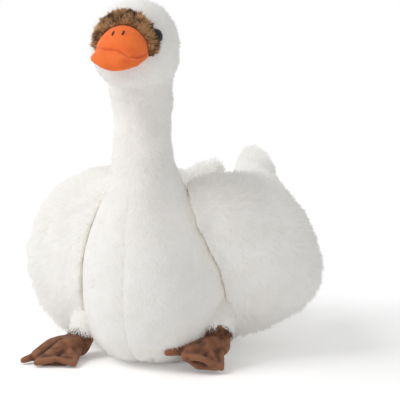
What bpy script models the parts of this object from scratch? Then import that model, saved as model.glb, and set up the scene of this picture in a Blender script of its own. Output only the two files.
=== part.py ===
"""A sitting plush swan, 286 mm tall, as its separate sewn and stuffed pieces.

Metres, +Z up. The swan faces -Y and its left side is +X. The origin is on the flat patch of belly that it
sits on, midway between its sides. Soft pieces have the outer shape of their pile.
"""

import math

import bmesh
import bpy
import numpy as np
from mathutils import Matrix, Vector
from mathutils.bvhtree import BVHTree

# Clearance between pieces that are sewn or pressed together
SEAM_GAP = 0.00035

# Torso
BACK_HEIGHT = 0.118
TORSO_HALF_WIDTH = 0.061
TORSO_WIDEST_Y = 0.012
BREAST_REACH = 0.092
RUMP_REACH = 0.122

# Neck, a soft column that rises from the front of the torso
NECK_Y = -0.051
NECK_HALF_WIDTH = 0.0228
NECK_HALF_DEPTH = 0.0230
NECK_BASE_Z = 0.158
NECK_TOP_Z = 0.209

# Head
HEAD_Y = -0.065
HEAD_Z = 0.2505
HEAD_HALF_WIDTH = 0.0345
HEAD_HALF_DEPTH = 0.0365
HEAD_HALF_HEIGHT = 0.0365
HEAD_TURN_DEG = 10.0

# Wings, thick pads sewn along the torso's sides, with their tips up over the back
WING_FRONT_Y = -0.043
WING_TIP_Y = 0.157
WING_BOTTOM_Z = 0.017
WING_BOW = 0.030
WING_TIP_RISE = 0.007
LEFT_WING_TOP_Z = 0.146
LEFT_WING_STAND_OUT = 0.059
LEFT_WING_LEAN = 0.044
LEFT_WING_SPLAY = -0.26
LEFT_TIP_DROOP = 0.0
RIGHT_WING_TOP_Z = 0.146
RIGHT_WING_STAND_OUT = 0.055
RIGHT_WING_LEAN = 0.008
RIGHT_WING_SPLAY = 0.12
RIGHT_TIP_DROOP = 0.009

# Tail, a short pad under the wing tips
TAIL_LENGTH = 0.050
TAIL_HALF_WIDTH = 0.030
TAIL_HALF_THICKNESS = 0.010
TAIL_Z = 0.074
TAIL_RISE = 0.016
TAIL_ROOT_DEPTH = 0.016

# Bill, with its own axis, which points forward and a little down
BILL_HALF_WIDTH = 0.0195
BILL_LENGTH = 0.029
BILL_DOME_HEIGHT = 0.0250
BILL_TIP_HALF_WIDTH = 0.0195
BILL_TIP_THICKNESS = 0.0092
BILL_LIP = 0.0040
BILL_DROP_DEG = 13.0
BILL_Z_BELOW_HEAD = 0.0065
LOWER_BILL_DEPTH = 0.0060
LOWER_BILL_SETBACK = 0.0050

# Brown pile round the bill, a shaped pad that follows the head
MASK_THICKNESS = 0.0042
MASK_TOP_WIDTH = 0.0200
MASK_SIDE_WIDTH = 0.0105
MASK_END_DEG = 5.0

# Eyes, each a dome on a ribbed stem that a washer locks behind the skin
EYE_DIAMETER = 0.0115
EYE_DOME_HEIGHT = 0.0052
EYE_STEM_DIAMETER = 0.0040
EYE_STEM_LENGTH = 0.0150
EYE_STEM_RIBS = 4
EYE_RIB_HEIGHT = 0.0004
EYE_WASHER_DIAMETER = 0.0120
EYE_WASHER_THICKNESS = 0.0020
EYE_SIDE_DEG = 47.0
EYE_UP_DEG = 16.0
EYE_SINK = 0.0025
SKIN_THICKNESS = 0.0040

# Legs and webbed feet
LEG_RADIUS = 0.0105
LEG_LEAN = 0.014
LEG_LENGTH = 0.034
TOE_LENGTH = 0.057
TOE_SPREAD_DEG = 25.0
TOE_RADIUS = 0.0040
TOE_ROOT_SWELL = 1.8
HEEL_SETBACK = 0.010
HEEL_REACH = 0.0065
FOOT_HEEL_LEVEL = 0.0070
WEB_REACH = 0.043
WEB_HEIGHT = 0.0038
WEB_THICKNESS = 0.0030
SOLE_TRIM = 0.0003
LEFT_ANKLE = (0.060, -0.028)
RIGHT_ANKLE = (-0.060, -0.042)
LEFT_FOOT_TURN_DEG = -13.0
LEFT_FOOT_TILT_DEG = -20.0
RIGHT_FOOT_TURN_DEG = -12.0
RIGHT_FOOT_TILT_DEG = 0.0

# Facets
RING_POINTS = 38
PAD_POINTS = 24
SMALL_POINTS = 16

# Shape of the torso's outline: its level, breast reach, rump reach and half width as shares of the sizes above
TORSO_ROWS = (
    (0.000, 0.490, 0.590, 0.560),
    (0.025, 0.640, 0.705, 0.700),
    (0.085, 0.800, 0.830, 0.825),
    (0.210, 0.935, 0.935, 0.940),
    (0.420, 1.000, 1.000, 1.000),
    (0.640, 1.000, 0.980, 0.985),
    (0.810, 0.980, 0.870, 0.900),
    (0.930, 0.955, 0.660, 0.795),
    (1.020, 0.935, 0.390, 0.695),
)
# Between the back and the neck: share of the way up, and share of the change from torso to neck
SHOULDER_ROWS = ((0.26, 0.46), (0.58, 0.80))
# Up the neck: share of its height, and its girth as a share of its half width
NECK_ROWS = ((0.00, 1.16), (0.32, 1.05), (0.66, 1.00), (1.00, 1.10))
# Roundness of the torso's and head's sections: 1 is an ellipse, and less is fuller
TORSO_FULLNESS = 0.86
HEAD_FULLNESS = 0.93
# How soon the head's widest place runs back into the neck's below its middle
NAPE_SPREAD = 1.5
# Rings of the head, as angles above its middle
HEAD_RING_DEG = (-50, -40, -30, -20, -10, 0, 10, 20, 30, 40, 50, 60, 70, 80)

# Wing from its leading edge to its tip: share of its length, level of its top and bottom edges as shares of its
# height, distance of each edge outside the torso as a share of the stand-out, and outer bulge as a share of it
WING_ROWS = (
    (0.000, 0.96, 0.02, -0.76, -0.22, 0.06),
    (0.035, 1.00, 0.00, -0.68, -0.04, 0.42),
    (0.110, 1.01, 0.00, -0.46, 0.28, 0.78),
    (0.250, 1.01, 0.02, -0.20, 0.42, 0.92),
    (0.430, 1.00, 0.08, -0.20, 0.40, 0.80),
    (0.610, 1.00, 0.24, -0.38, 0.20, 0.58),
    (0.770, 1.00, 0.44, -0.58, -0.12, 0.42),
    (0.890, 1.02, 0.62, -0.76, -0.42, 0.32),
    (0.965, 1.03, 0.76, -0.86, -0.62, 0.24),
    (1.000, 1.00, 0.86, -0.88, -0.74, 0.06),
)
WING_INNER_SHARE = 0.80
# Roundness of a wing's section above and below its middle: 1 is an ellipse, and less is fuller
WING_TOP_FULLNESS = 0.90
WING_LOW_FULLNESS = 0.84

WHITE_PLUSH = ("white_plush", (0.87, 0.86, 0.83), 0.95)
WING_PLUSH = ("wing_plush", (0.85, 0.84, 0.81), 0.95)
BROWN_PLUSH = ("brown_plush", (0.30, 0.20, 0.12), 0.95)
ORANGE_SUEDE = ("orange_suede", (0.90, 0.25, 0.05), 0.80)
BROWN_SUEDE = ("brown_suede", (0.20, 0.09, 0.05), 0.85)
EYE_PLASTIC = ("eye_plastic", (0.012, 0.010, 0.014), 0.10)
WASHER_PLASTIC = ("washer_plastic", (0.75, 0.75, 0.73), 0.45)


def clear_scene():
    for obj in list(bpy.data.objects):
        bpy.data.objects.remove(obj)


def material(finish):
    """The Principled material of a finish, made once."""
    name, colour, roughness = finish
    found = bpy.data.materials.get(name)
    if found:
        return found
    made = bpy.data.materials.new(name)
    made.use_nodes = True
    shader = made.node_tree.nodes["Principled BSDF"]
    shader.inputs["Base Color"].default_value = (*colour, 1.0)
    shader.inputs["Roughness"].default_value = roughness
    shader.inputs["Metallic"].default_value = 0.0
    made.diffuse_color = (*colour, 1.0)
    return made


def object_of(name, mesh_builder, finish):
    """An object from a bmesh, with its faces turned outwards and shaded smooth."""
    bmesh.ops.recalc_face_normals(mesh_builder, faces=mesh_builder.faces)
    mesh = bpy.data.meshes.new(name)
    mesh_builder.to_mesh(mesh)
    mesh_builder.free()
    obj = bpy.data.objects.new(name, mesh)
    bpy.context.scene.collection.objects.link(obj)
    mesh.materials.append(material(finish))
    mesh.shade_smooth()
    return obj


def smooth_rows(rows, per_span):
    """Rows of numbers joined by a Catmull-Rom curve, with per_span rows for each gap."""
    points = np.array(rows, float)
    padded = np.vstack([2 * points[0] - points[1], points, 2 * points[-1] - points[-2]])
    out = []
    for i in range(1, len(padded) - 2):
        a, b, c, d = padded[i - 1 : i + 3]
        for step in range(per_span):
            t = step / per_span
            bend, twist = 2 * a - 5 * b + 4 * c - d, 3 * b - a - 3 * c + d
            out.append(0.5 * (2 * b + (c - a) * t + bend * t**2 + twist * t**3))
    out.append(points[-1])
    return out


def loft(name, rings, finish):
    """A closed solid through rings of points, each ring with as many points, and flat ends."""
    builder = bmesh.new()
    loops = [[builder.verts.new(point) for point in ring] for ring in rings]
    for low, high in zip(loops, loops[1:]):
        for i in range(len(low)):
            j = (i + 1) % len(low)
            builder.faces.new((low[i], low[j], high[j], high[i]))
    builder.faces.new(list(reversed(loops[0])))
    builder.faces.new(loops[-1])
    return object_of(name, builder, finish)


def evaluated_mesh(obj):
    graph = bpy.context.evaluated_depsgraph_get()
    graph.update()
    return bpy.data.meshes.new_from_object(obj.evaluated_get(graph))


def apply_modifiers(obj):
    old = obj.data
    obj.data = evaluated_mesh(obj)
    obj.modifiers.clear()
    bpy.data.meshes.remove(old)


def boolean(obj, other, operation):
    modifier = obj.modifiers.new(operation.lower(), "BOOLEAN")
    modifier.operation = operation
    modifier.object = other
    # A swollen copy crosses itself in its narrow folds
    modifier.use_self = True
    apply_modifiers(obj)


def drop_crumbs(obj):
    """Keeps only the largest of the separate shells that a cut leaves."""
    builder = bmesh.new()
    builder.from_mesh(obj.data)
    left, shells = set(builder.verts), []
    while left:
        shell, edge = set(), {left.pop()}
        while edge:
            shell |= edge
            edge = {e.other_vert(v) for v in edge for e in v.link_edges} - shell
        left -= shell
        shells.append(shell)
    shells.sort(key=len)
    for shell in shells[:-1]:
        bmesh.ops.delete(builder, geom=list(shell), context="VERTS")
    builder.to_mesh(obj.data)
    builder.free()


def cut_clear(obj, neighbour, gap=SEAM_GAP):
    """Cuts obj back to stand off neighbour by the gap, as a sewn piece lies against what it is sewn to."""
    cutter = bpy.data.objects.new("cutter", neighbour.data.copy())
    cutter.matrix_world = neighbour.matrix_world.copy()
    bpy.context.scene.collection.objects.link(cutter)
    swell = cutter.modifiers.new("swell", "DISPLACE")
    swell.mid_level = 0.0
    swell.strength = gap
    apply_modifiers(cutter)
    boolean(obj, cutter, "DIFFERENCE")
    bpy.data.objects.remove(cutter)
    drop_crumbs(obj)


def mix(a, b, share):
    return a + (b - a) * share


def skin_rows():
    """Level, front, back, widest place and half width of the skin, from the belly to the crown."""
    torso = [
        (level * BACK_HEIGHT, -front * BREAST_REACH, rear * RUMP_REACH, TORSO_WIDEST_Y, width * TORSO_HALF_WIDTH)
        for level, front, rear, width in TORSO_ROWS
    ]
    # The widest place moves forward to the neck's middle over the upper torso
    forward = np.linspace(0.0, 0.55, 5)
    for share, index in zip(forward, range(len(torso) - 5, len(torso))):
        level, front, rear, widest, width = torso[index]
        torso[index] = (level, front, rear, mix(widest, NECK_Y, share), width)
    neck = [
        (
            mix(NECK_BASE_Z, NECK_TOP_Z, share),
            NECK_Y - NECK_HALF_DEPTH * girth,
            NECK_Y + NECK_HALF_DEPTH * girth,
            NECK_Y,
            NECK_HALF_WIDTH * girth,
        )
        for share, girth in NECK_ROWS
    ]
    top, base = np.array(torso[-1]), np.array(neck[0])
    shoulder = []
    for rise, change in SHOULDER_ROWS:
        row = mix(top, base, change)
        row[0] = mix(top[0], base[0], rise)
        shoulder.append(tuple(row))
    return torso + shoulder + neck + head_rows(neck[-1])


def head_rows(neck_top):
    """The head's rings, an ellipsoid whose nape runs straight down into the neck."""
    _, neck_front, neck_rear, _, neck_width = neck_top
    rows = []
    for angle in HEAD_RING_DEG:
        out = math.cos(math.radians(angle)) ** HEAD_FULLNESS
        up = math.copysign(abs(math.sin(math.radians(angle))) ** HEAD_FULLNESS, angle)
        front = HEAD_Y - HEAD_HALF_DEPTH * out
        rear = HEAD_Y + HEAD_HALF_DEPTH * out
        width = HEAD_HALF_WIDTH * out
        widest = HEAD_Y
        if angle < 0:
            below = -angle / 90
            widest = mix(HEAD_Y, NECK_Y, min(below * NAPE_SPREAD, 1.0))
            front = min(front, neck_front)
            rear = max(rear, mix(HEAD_Y + HEAD_HALF_DEPTH, neck_rear, below))
            width = max(width, neck_width)
        rows.append((HEAD_Z + HEAD_HALF_HEIGHT * up, front, rear, widest, width))
    return rows


def make_skin():
    """Torso, neck and head: one sewn skin over one filling."""
    rings = []
    for level, front, rear, widest, width in smooth_rows(skin_rows(), 2):
        full = mix(TORSO_FULLNESS, 1.0, min(max((level / BACK_HEIGHT - 0.7) / 0.5, 0.0), 1.0))
        ring = []
        for i in range(RING_POINTS):
            angle = 2 * math.pi * i / RING_POINTS
            across, along = math.sin(angle), math.cos(angle)
            reach = widest - front if along > 0 else rear - widest
            x = width * math.copysign(abs(across) ** full, across)
            y = widest - reach * math.copysign(abs(along) ** full, along)
            ring.append((x, y, level))
        rings.append(ring)
    return loft("body", rings, WHITE_PLUSH)


class Surface:
    """Finds places on an object's surface by looking along a ray."""

    def __init__(self, obj):
        builder = bmesh.new()
        builder.from_mesh(evaluated_mesh(obj))
        self.tree = BVHTree.FromBMesh(builder)
        builder.free()

    def first(self, start, direction):
        """The point and outward normal where a ray from inside leaves the surface."""
        point, normal, _, _ = self.tree.ray_cast(Vector(start), Vector(direction).normalized())
        if normal.dot(Vector(direction)) < 0:
            normal = -normal
        return point, normal


def make_wing(name, side, top_z, stand_out, front_lean, splay, tip_droop):
    """One wing pad. Its rings run from the leading edge to the tip, each from the top edge to the bottom one."""
    rings = []
    for share, top, bottom, top_out, bottom_out, bulge in smooth_rows(WING_ROWS, 3):
        along = mix(WING_FRONT_Y, WING_TIP_Y, share)
        base = WING_BOTTOM_Z + WING_TIP_RISE * share**3 - tip_droop * share**2
        tall = top_z - WING_BOTTOM_Z
        low_out = bottom_out + splay * (1 - share) * min(share * 8, 1.0)
        top_point = Vector((TORSO_HALF_WIDTH + stand_out * top_out, along, base + tall * top))
        bottom_point = Vector(
            (TORSO_HALF_WIDTH + stand_out * low_out, along + front_lean * (1 - share), base + tall * bottom)
        )
        middle, half = (top_point + bottom_point) / 2, (top_point - bottom_point) / 2
        outward = Vector((0, 1, 0)).cross(half).normalized()
        if outward.x < 0:
            outward = -outward
        ring = []
        for i in range(PAD_POINTS):
            up, out = math.cos(2 * math.pi * i / PAD_POINTS), math.sin(2 * math.pi * i / PAD_POINTS)
            full = WING_TOP_FULLNESS if up > 0 else WING_LOW_FULLNESS
            height = math.copysign(abs(up) ** full, up)
            depth = stand_out * max(bulge, 0.02) * abs(out) ** full
            if out < 0:
                depth *= -WING_INNER_SHARE
            point = middle + half * height + outward * depth
            point.y -= WING_BOW * (1 - height**2) * (1 - share) ** 2
            ring.append((point.x * side, point.y, point.z))
        rings.append(ring)
    return loft(name, rings, WING_PLUSH)


def make_tail():
    """A short rounded pad, flat and wide, that rises from the rump."""
    rings = []
    start = RUMP_REACH - TAIL_ROOT_DEPTH
    length = TAIL_ROOT_DEPTH + TAIL_LENGTH
    for step in range(13):
        share = step / 12
        taper = math.sqrt(max(1 - share**4, 0.02))
        width = TAIL_HALF_WIDTH * mix(1.0, 0.72, share) * taper
        thickness = TAIL_HALF_THICKNESS * mix(1.25, 0.75, share) * taper
        centre = Vector((0, start + length * share, TAIL_Z + TAIL_RISE * share**1.5))
        rings.append(
            [
                (
                    centre.x + width * math.cos(2 * math.pi * i / PAD_POINTS),
                    centre.y,
                    centre.z + thickness * math.sin(2 * math.pi * i / PAD_POINTS),
                )
                for i in range(PAD_POINTS)
            ]
        )
    return loft("tail", rings, WHITE_PLUSH)


def head_frame():
    """Matrix of the face: the head's middle, turned a little to the swan's left."""
    return Matrix.Translation((0, HEAD_Y, HEAD_Z)) @ Matrix.Rotation(math.radians(HEAD_TURN_DEG), 4, "Z")


def bill_frame():
    """Matrix of the bill's own axes: X to the swan's left, Y forward along the bill, Z up."""
    face = Matrix.Translation((0, HEAD_HALF_DEPTH, -BILL_Z_BELOW_HEAD))
    forward = Matrix.Rotation(math.pi, 4, "Z")
    drop = Matrix.Rotation(math.radians(-BILL_DROP_DEG), 4, "X")
    return head_frame() @ forward @ face @ drop


def bill_section(half_width, top, bottom, along, pinch, frame):
    """A ring across the bill: a dome on a lip above the mouth line, and a shallow curve below it."""
    lip = min(BILL_LIP, top)
    ring = []
    for i in range(PAD_POINTS):
        angle = 2 * math.pi * i / PAD_POINTS
        rise = math.sin(angle)
        height = lip * rise**0.6 + (top - lip) * rise**pinch if rise > 1e-6 else bottom * rise
        ring.append(frame @ Vector((half_width * math.cos(angle), along, height)))
    return ring


def make_bill(skin):
    """The upper and lower bill, two stuffed pieces that meet at the mouth line."""
    frame = bill_frame()
    buried = HEAD_HALF_DEPTH * 0.45
    # Share of the length, half width, height above the mouth line, depth below it, and pinch of the dome
    upper_rows = (
        (-buried / BILL_LENGTH, BILL_HALF_WIDTH, BILL_DOME_HEIGHT, 0.0022, 1.0),
        (0.00, BILL_HALF_WIDTH, BILL_DOME_HEIGHT, 0.0022, 1.0),
        (0.20, BILL_HALF_WIDTH * 0.98, BILL_DOME_HEIGHT * 0.91, 0.0022, 1.1),
        (0.42, BILL_HALF_WIDTH * 0.95, BILL_DOME_HEIGHT * 0.68, 0.0022, 1.6),
        (0.58, BILL_TIP_HALF_WIDTH * 0.97, mix(BILL_TIP_THICKNESS, BILL_DOME_HEIGHT, 0.16), 0.0026, 1.8),
        (0.72, BILL_TIP_HALF_WIDTH, BILL_TIP_THICKNESS, 0.0028, 1.2),
        (0.85, BILL_TIP_HALF_WIDTH * 0.88, BILL_TIP_THICKNESS * 0.88, 0.0026, 1.0),
        (0.94, BILL_TIP_HALF_WIDTH * 0.68, BILL_TIP_THICKNESS * 0.64, 0.0020, 1.0),
        (1.00, BILL_TIP_HALF_WIDTH * 0.40, BILL_TIP_THICKNESS * 0.28, 0.0010, 1.0),
    )
    upper = loft(
        "upper_bill",
        [bill_section(w, t, b, a * BILL_LENGTH, p, frame) for a, w, t, b, p in smooth_rows(upper_rows, 2)],
        ORANGE_SUEDE,
    )
    lower_length = BILL_LENGTH - LOWER_BILL_SETBACK
    lower_rows = (
        (-buried / lower_length, BILL_HALF_WIDTH * 0.88, LOWER_BILL_DEPTH),
        (0.00, BILL_HALF_WIDTH * 0.88, LOWER_BILL_DEPTH),
        (0.35, BILL_HALF_WIDTH * 0.86, LOWER_BILL_DEPTH * 0.92),
        (0.70, BILL_TIP_HALF_WIDTH * 0.84, LOWER_BILL_DEPTH * 0.76),
        (0.92, BILL_TIP_HALF_WIDTH * 0.62, LOWER_BILL_DEPTH * 0.60),
        (1.00, BILL_TIP_HALF_WIDTH * 0.32, LOWER_BILL_DEPTH * 0.45),
    )
    lower = loft(
        "lower_bill",
        [bill_section(w, 0.0010, d, a * lower_length, 1.0, frame) for a, w, d in smooth_rows(lower_rows, 2)],
        ORANGE_SUEDE,
    )
    cut_clear(upper, skin)
    cut_clear(lower, skin)
    cut_clear(lower, upper)
    return upper, lower


def make_mask(surface, bill_pieces):
    """The brown pad: a grid laid on the head from one mouth corner over the bill to the other, then thickened."""
    centre = head_frame().translation
    frame = bill_frame()
    steps, bands = 32, 6
    start = math.radians(-MASK_END_DEG)
    inner_side, inner_top = BILL_HALF_WIDTH * 0.78, BILL_DOME_HEIGHT * 0.72
    axis = (frame @ Vector((0, 0, inner_top * 0.4)) - centre).normalized()
    low, high = [], []
    for i in range(steps + 1):
        angle = mix(start, math.pi - start, i / steps)
        width = mix(MASK_SIDE_WIDTH, MASK_TOP_WIDTH, max(math.sin(angle), 0.0) ** 1.5)
        fade = min(1.0, 0.25 + 4.4 * min(i, steps - i) / steps)
        edge = frame @ Vector((inner_side * math.cos(angle), 0.0, inner_top * math.sin(angle))) - centre
        low_row, high_row = [], []
        for j in range(bands + 1):
            turn = width * fade * j / bands / HEAD_HALF_DEPTH
            aim = Matrix.Rotation(turn, 3, axis.cross(edge)) @ edge
            point, normal = surface.first(centre, aim)
            dome = MASK_THICKNESS * (0.35 + 0.65 * math.sin(math.pi * (0.12 + 0.76 * j / bands)))
            low_row.append(point + normal * SEAM_GAP)
            high_row.append(point + normal * (SEAM_GAP + dome * min(1.0, fade + 0.2)))
        low.append(low_row)
        high.append(high_row)
    mask = shell_between("face_mask", low, high, BROWN_PLUSH)
    for piece in bill_pieces:
        cut_clear(mask, piece)
    return mask


def shell_between(name, low, high, finish):
    """A closed pad between two grids of points with the same rows and columns."""
    builder = bmesh.new()
    sheets = [[[builder.verts.new(p) for p in row] for row in grid] for grid in (low, high)]
    rows, columns = len(low), len(low[0])
    for sheet in sheets:
        for i in range(rows - 1):
            for j in range(columns - 1):
                builder.faces.new((sheet[i][j], sheet[i + 1][j], sheet[i + 1][j + 1], sheet[i][j + 1]))
    rim = (
        [(i, 0) for i in range(rows - 1)]
        + [(rows - 1, j) for j in range(columns - 1)]
        + [(i, columns - 1) for i in range(rows - 1, 0, -1)]
        + [(0, j) for j in range(columns - 1, 0, -1)]
    )
    for (i, j), (k, m) in zip(rim, rim[1:] + rim[:1]):
        builder.faces.new((sheets[0][i][j], sheets[0][k][m], sheets[1][k][m], sheets[1][i][j]))
    return object_of(name, builder, finish)


def turned(name, profile, place, finish, points=SMALL_POINTS):
    """A solid turned about Z from (radius, height) points, listed from the bottom up, then moved to its place."""
    rings = [
        [
            place @ Vector((r * math.cos(2 * math.pi * i / points), r * math.sin(2 * math.pi * i / points), z))
            for i in range(points)
        ]
        for r, z in profile
    ]
    return loft(name, rings, finish)


def ring_solid(name, outer, inner, low, high, place, finish, points=SMALL_POINTS):
    """A flat washer turned about Z, moved to its place."""
    builder = bmesh.new()
    loops = []
    for r, z in ((inner, low), (outer, low), (outer, high), (inner, high)):
        loops.append(
            [
                builder.verts.new(
                    place @ Vector((r * math.cos(2 * math.pi * i / points), r * math.sin(2 * math.pi * i / points), z))
                )
                for i in range(points)
            ]
        )
    for a, b in zip(loops, loops[1:] + loops[:1]):
        for i in range(points):
            j = (i + 1) % points
            builder.faces.new((a[i], a[j], b[j], b[i]))
    return object_of(name, builder, finish)


def eye_place(surface, side):
    """Matrix at the skin under an eye, with Z along the eye's stem, outwards."""
    turn, rise = math.radians(EYE_SIDE_DEG), math.radians(EYE_UP_DEG)
    aim = Vector((side * math.sin(turn) * math.cos(rise), -math.cos(turn) * math.cos(rise), math.sin(rise)))
    face = head_frame()
    point, normal = surface.first(face.translation, face.to_3x3() @ aim)
    return Matrix.Translation(point) @ normal.to_track_quat("Z", "Y").to_matrix().to_4x4()


def make_eye(prefix, side, skin, surface, mask):
    """One eye with its washer, and the stem hole and washer pocket in the skin."""
    place = eye_place(surface, side)
    radius, stem = EYE_DIAMETER / 2, EYE_STEM_DIAMETER / 2
    seat = SEAM_GAP - EYE_SINK
    profile = [(stem * 0.7, -EYE_STEM_LENGTH), (stem, -EYE_STEM_LENGTH + stem)]
    rib_pitch = (EYE_STEM_LENGTH - stem - SKIN_THICKNESS) / (EYE_STEM_RIBS + 1)
    for rib in range(EYE_STEM_RIBS):
        height = -EYE_STEM_LENGTH + stem + rib_pitch * (rib + 0.5)
        profile += [
            (stem, height),
            (stem + EYE_RIB_HEIGHT, height + rib_pitch * 0.35),
            (stem, height + rib_pitch * 0.45),
        ]
    profile += [(stem, seat), (radius * 0.94, seat), (radius, seat + EYE_DOME_HEIGHT * 0.16)]
    for angle in (20, 38, 56, 72, 84):
        out, up = math.cos(math.radians(angle)), math.sin(math.radians(angle))
        profile.append((radius * out, seat + EYE_DOME_HEIGHT * mix(0.16, 1.0, up)))
    eye = turned(f"{prefix}_eye", profile, place, EYE_PLASTIC)

    hole = stem + EYE_RIB_HEIGHT + SEAM_GAP
    washer_top = seat - SKIN_THICKNESS
    washer_low = washer_top - EYE_WASHER_THICKNESS
    washer = ring_solid(
        f"{prefix}_eye_washer", EYE_WASHER_DIAMETER / 2, hole, washer_low, washer_top, place, WASHER_PLASTIC
    )

    pocket = EYE_WASHER_DIAMETER / 2 + SEAM_GAP
    clearance = [
        (hole, -EYE_STEM_LENGTH - SEAM_GAP),
        (hole, washer_low - SEAM_GAP),
        (pocket, washer_low - SEAM_GAP),
        (pocket, washer_top + SEAM_GAP),
        (hole, washer_top + SEAM_GAP),
        (hole, -EYE_SINK),
        (radius + SEAM_GAP, -EYE_SINK),
        (radius + SEAM_GAP, EYE_DOME_HEIGHT),
    ]
    cutter = turned("cutter", clearance, place, EYE_PLASTIC, points=20)
    boolean(skin, cutter, "DIFFERENCE")
    bpy.data.objects.remove(cutter)
    dome = [
        (radius + SEAM_GAP, -EYE_SINK),
        (radius + SEAM_GAP, seat + EYE_DOME_HEIGHT * 0.3),
        (radius * 0.8, seat + EYE_DOME_HEIGHT + MASK_THICKNESS),
    ]
    cutter = turned("cutter", dome, place, EYE_PLASTIC, points=20)
    boolean(mask, cutter, "DIFFERENCE")
    bpy.data.objects.remove(cutter)
    return eye, washer


def tube(name, centres, radii, finish, points=SMALL_POINTS):
    """A stuffed tube through centres with a radius at each, and rounded by its own end radii."""
    rings = []
    for i, (centre, radius) in enumerate(zip(centres, radii)):
        before, after = centres[max(i - 1, 0)], centres[min(i + 1, len(centres) - 1)]
        turn = (after - before).normalized().to_track_quat("Z", "Y").to_matrix()
        rings.append(
            [
                centre
                + turn
                @ Vector(
                    (radius * math.cos(2 * math.pi * k / points), radius * math.sin(2 * math.pi * k / points), 0)
                )
                for k in range(points)
            ]
        )
    return loft(name, rings, finish)


def foot_columns():
    """Lines that run out along the foot from its heel: (toe angle, offset in toe radii) or (web, share across it)."""
    spread = math.radians(TOE_SPREAD_DEG)
    across = (-1.0, -0.72, -0.38, 0.0, 0.38, 0.72, 1.0)
    columns = []
    for toe in (-1, 0, 1):
        columns += [("toe", toe * spread, offset) for offset in across]
        if toe < 1:
            columns += [("web", (toe + 0.5) * spread, share) for share in (0.06, 0.28, 0.5, 0.72, 0.94)]
    return columns


def web_half_thickness(along, close):
    return mix(TOE_RADIUS * TOE_ROOT_SWELL * 0.9, WEB_THICKNESS / 2, along**0.6) * mix(0.35, 1.0, close)


def foot_point(column, along, tip_turn):
    """Place, middle level and half thickness of the foot on a column, at a share of its length."""
    kind, angle, offset = column
    spread = math.radians(TOE_SPREAD_DEG)
    close = math.cos(tip_turn)
    if kind == "toe":
        reach = mix(HEEL_REACH, TOE_LENGTH - TOE_RADIUS, along)
        width = min(TOE_RADIUS * mix(1.25, 1.0, along), reach * math.tan(spread / 2) * 0.72)
        rounding = math.sqrt(1 - offset**2 * 0.96)
        reach += TOE_RADIUS * rounding * math.sin(tip_turn)
        half = TOE_RADIUS * mix(TOE_ROOT_SWELL, 1.0, along**0.8) * rounding * close
        if offset * angle <= 0:
            # This side of the toe meets the web
            half = max(half, web_half_thickness(along, close) * 0.98)
        out, side = Vector((math.sin(angle), -math.cos(angle))), Vector((math.cos(angle), math.sin(angle)))
        return out * reach + side * width * offset, mix(FOOT_HEEL_LEVEL, TOE_RADIUS, along**0.7), half
    reach = mix(HEEL_REACH, WEB_REACH * mix(1.0, 1.12, abs(offset - 0.5) * 2), along)
    width = min(TOE_RADIUS * mix(1.25, 1.0, along), reach * math.tan(spread / 2) * 0.72)
    edge = math.atan2(width, reach)
    turn = mix(angle - spread / 2 + edge, angle + spread / 2 - edge, offset)
    reach += WEB_THICKNESS / 2 * math.sin(tip_turn)
    place = Vector((math.sin(turn) * reach, -math.cos(turn) * reach))
    return place, mix(FOOT_HEEL_LEVEL, WEB_HEIGHT, along**0.7), web_half_thickness(along, close)


def make_foot(name, ankle, turn_deg, tilt_deg):
    """Three toes and their web as one sewn and stuffed piece, flat where it lies on the floor."""
    place = (
        Matrix.Translation((*ankle, 0))
        @ Matrix.Rotation(math.radians(turn_deg), 4, "Z")
        @ Matrix.Translation((0, HEEL_SETBACK, 0))
    )
    columns = foot_columns()
    steps = [(share, 0.0) for share in np.linspace(0.0, 1.0, 7)]
    steps += [(1.0, math.radians(turn)) for turn in (32, 58, 78)]
    low, high = [], []
    for column in columns:
        low_line, high_line = [], []
        for along, tip_turn in steps:
            point, level, half = foot_point(column, along, tip_turn)
            # The tilt lifts the toes of one side only, so the others stay on the floor
            lift = max(point.x * math.tan(math.radians(tilt_deg)), 0.0)
            bottom = max(level - half, SOLE_TRIM) - SOLE_TRIM
            top = max(level + half, bottom + SOLE_TRIM * 2)
            low_line.append(place @ Vector((point.x, point.y, bottom + lift)))
            high_line.append(place @ Vector((point.x, point.y, top + lift)))
        low.append(low_line)
        high.append(high_line)
    return shell_between(name, low, high, BROWN_SUEDE)


def make_leg(name, ankle, skin, foot, wing):
    """The short stuffed leg between the belly and the top of the foot."""
    side = math.copysign(1.0, ankle[0])
    low = Vector((ankle[0], ankle[1], FOOT_HEEL_LEVEL * 1.2))
    high = low + Vector((-side * LEG_LEAN, LEG_LEAN * 0.6, LEG_LENGTH))
    centres = [low.lerp(high, share) for share in (0.0, 0.06, 0.2, 0.4, 0.6, 0.8, 1.0)]
    radii = [LEG_RADIUS * size for size in (0.66, 0.86, 0.98, 1.0, 1.0, 0.96, 0.9)]
    leg = tube(name, centres, radii, BROWN_SUEDE, points=20)
    for neighbour in (foot, skin, wing):
        cut_clear(leg, neighbour)
    return leg


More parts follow.
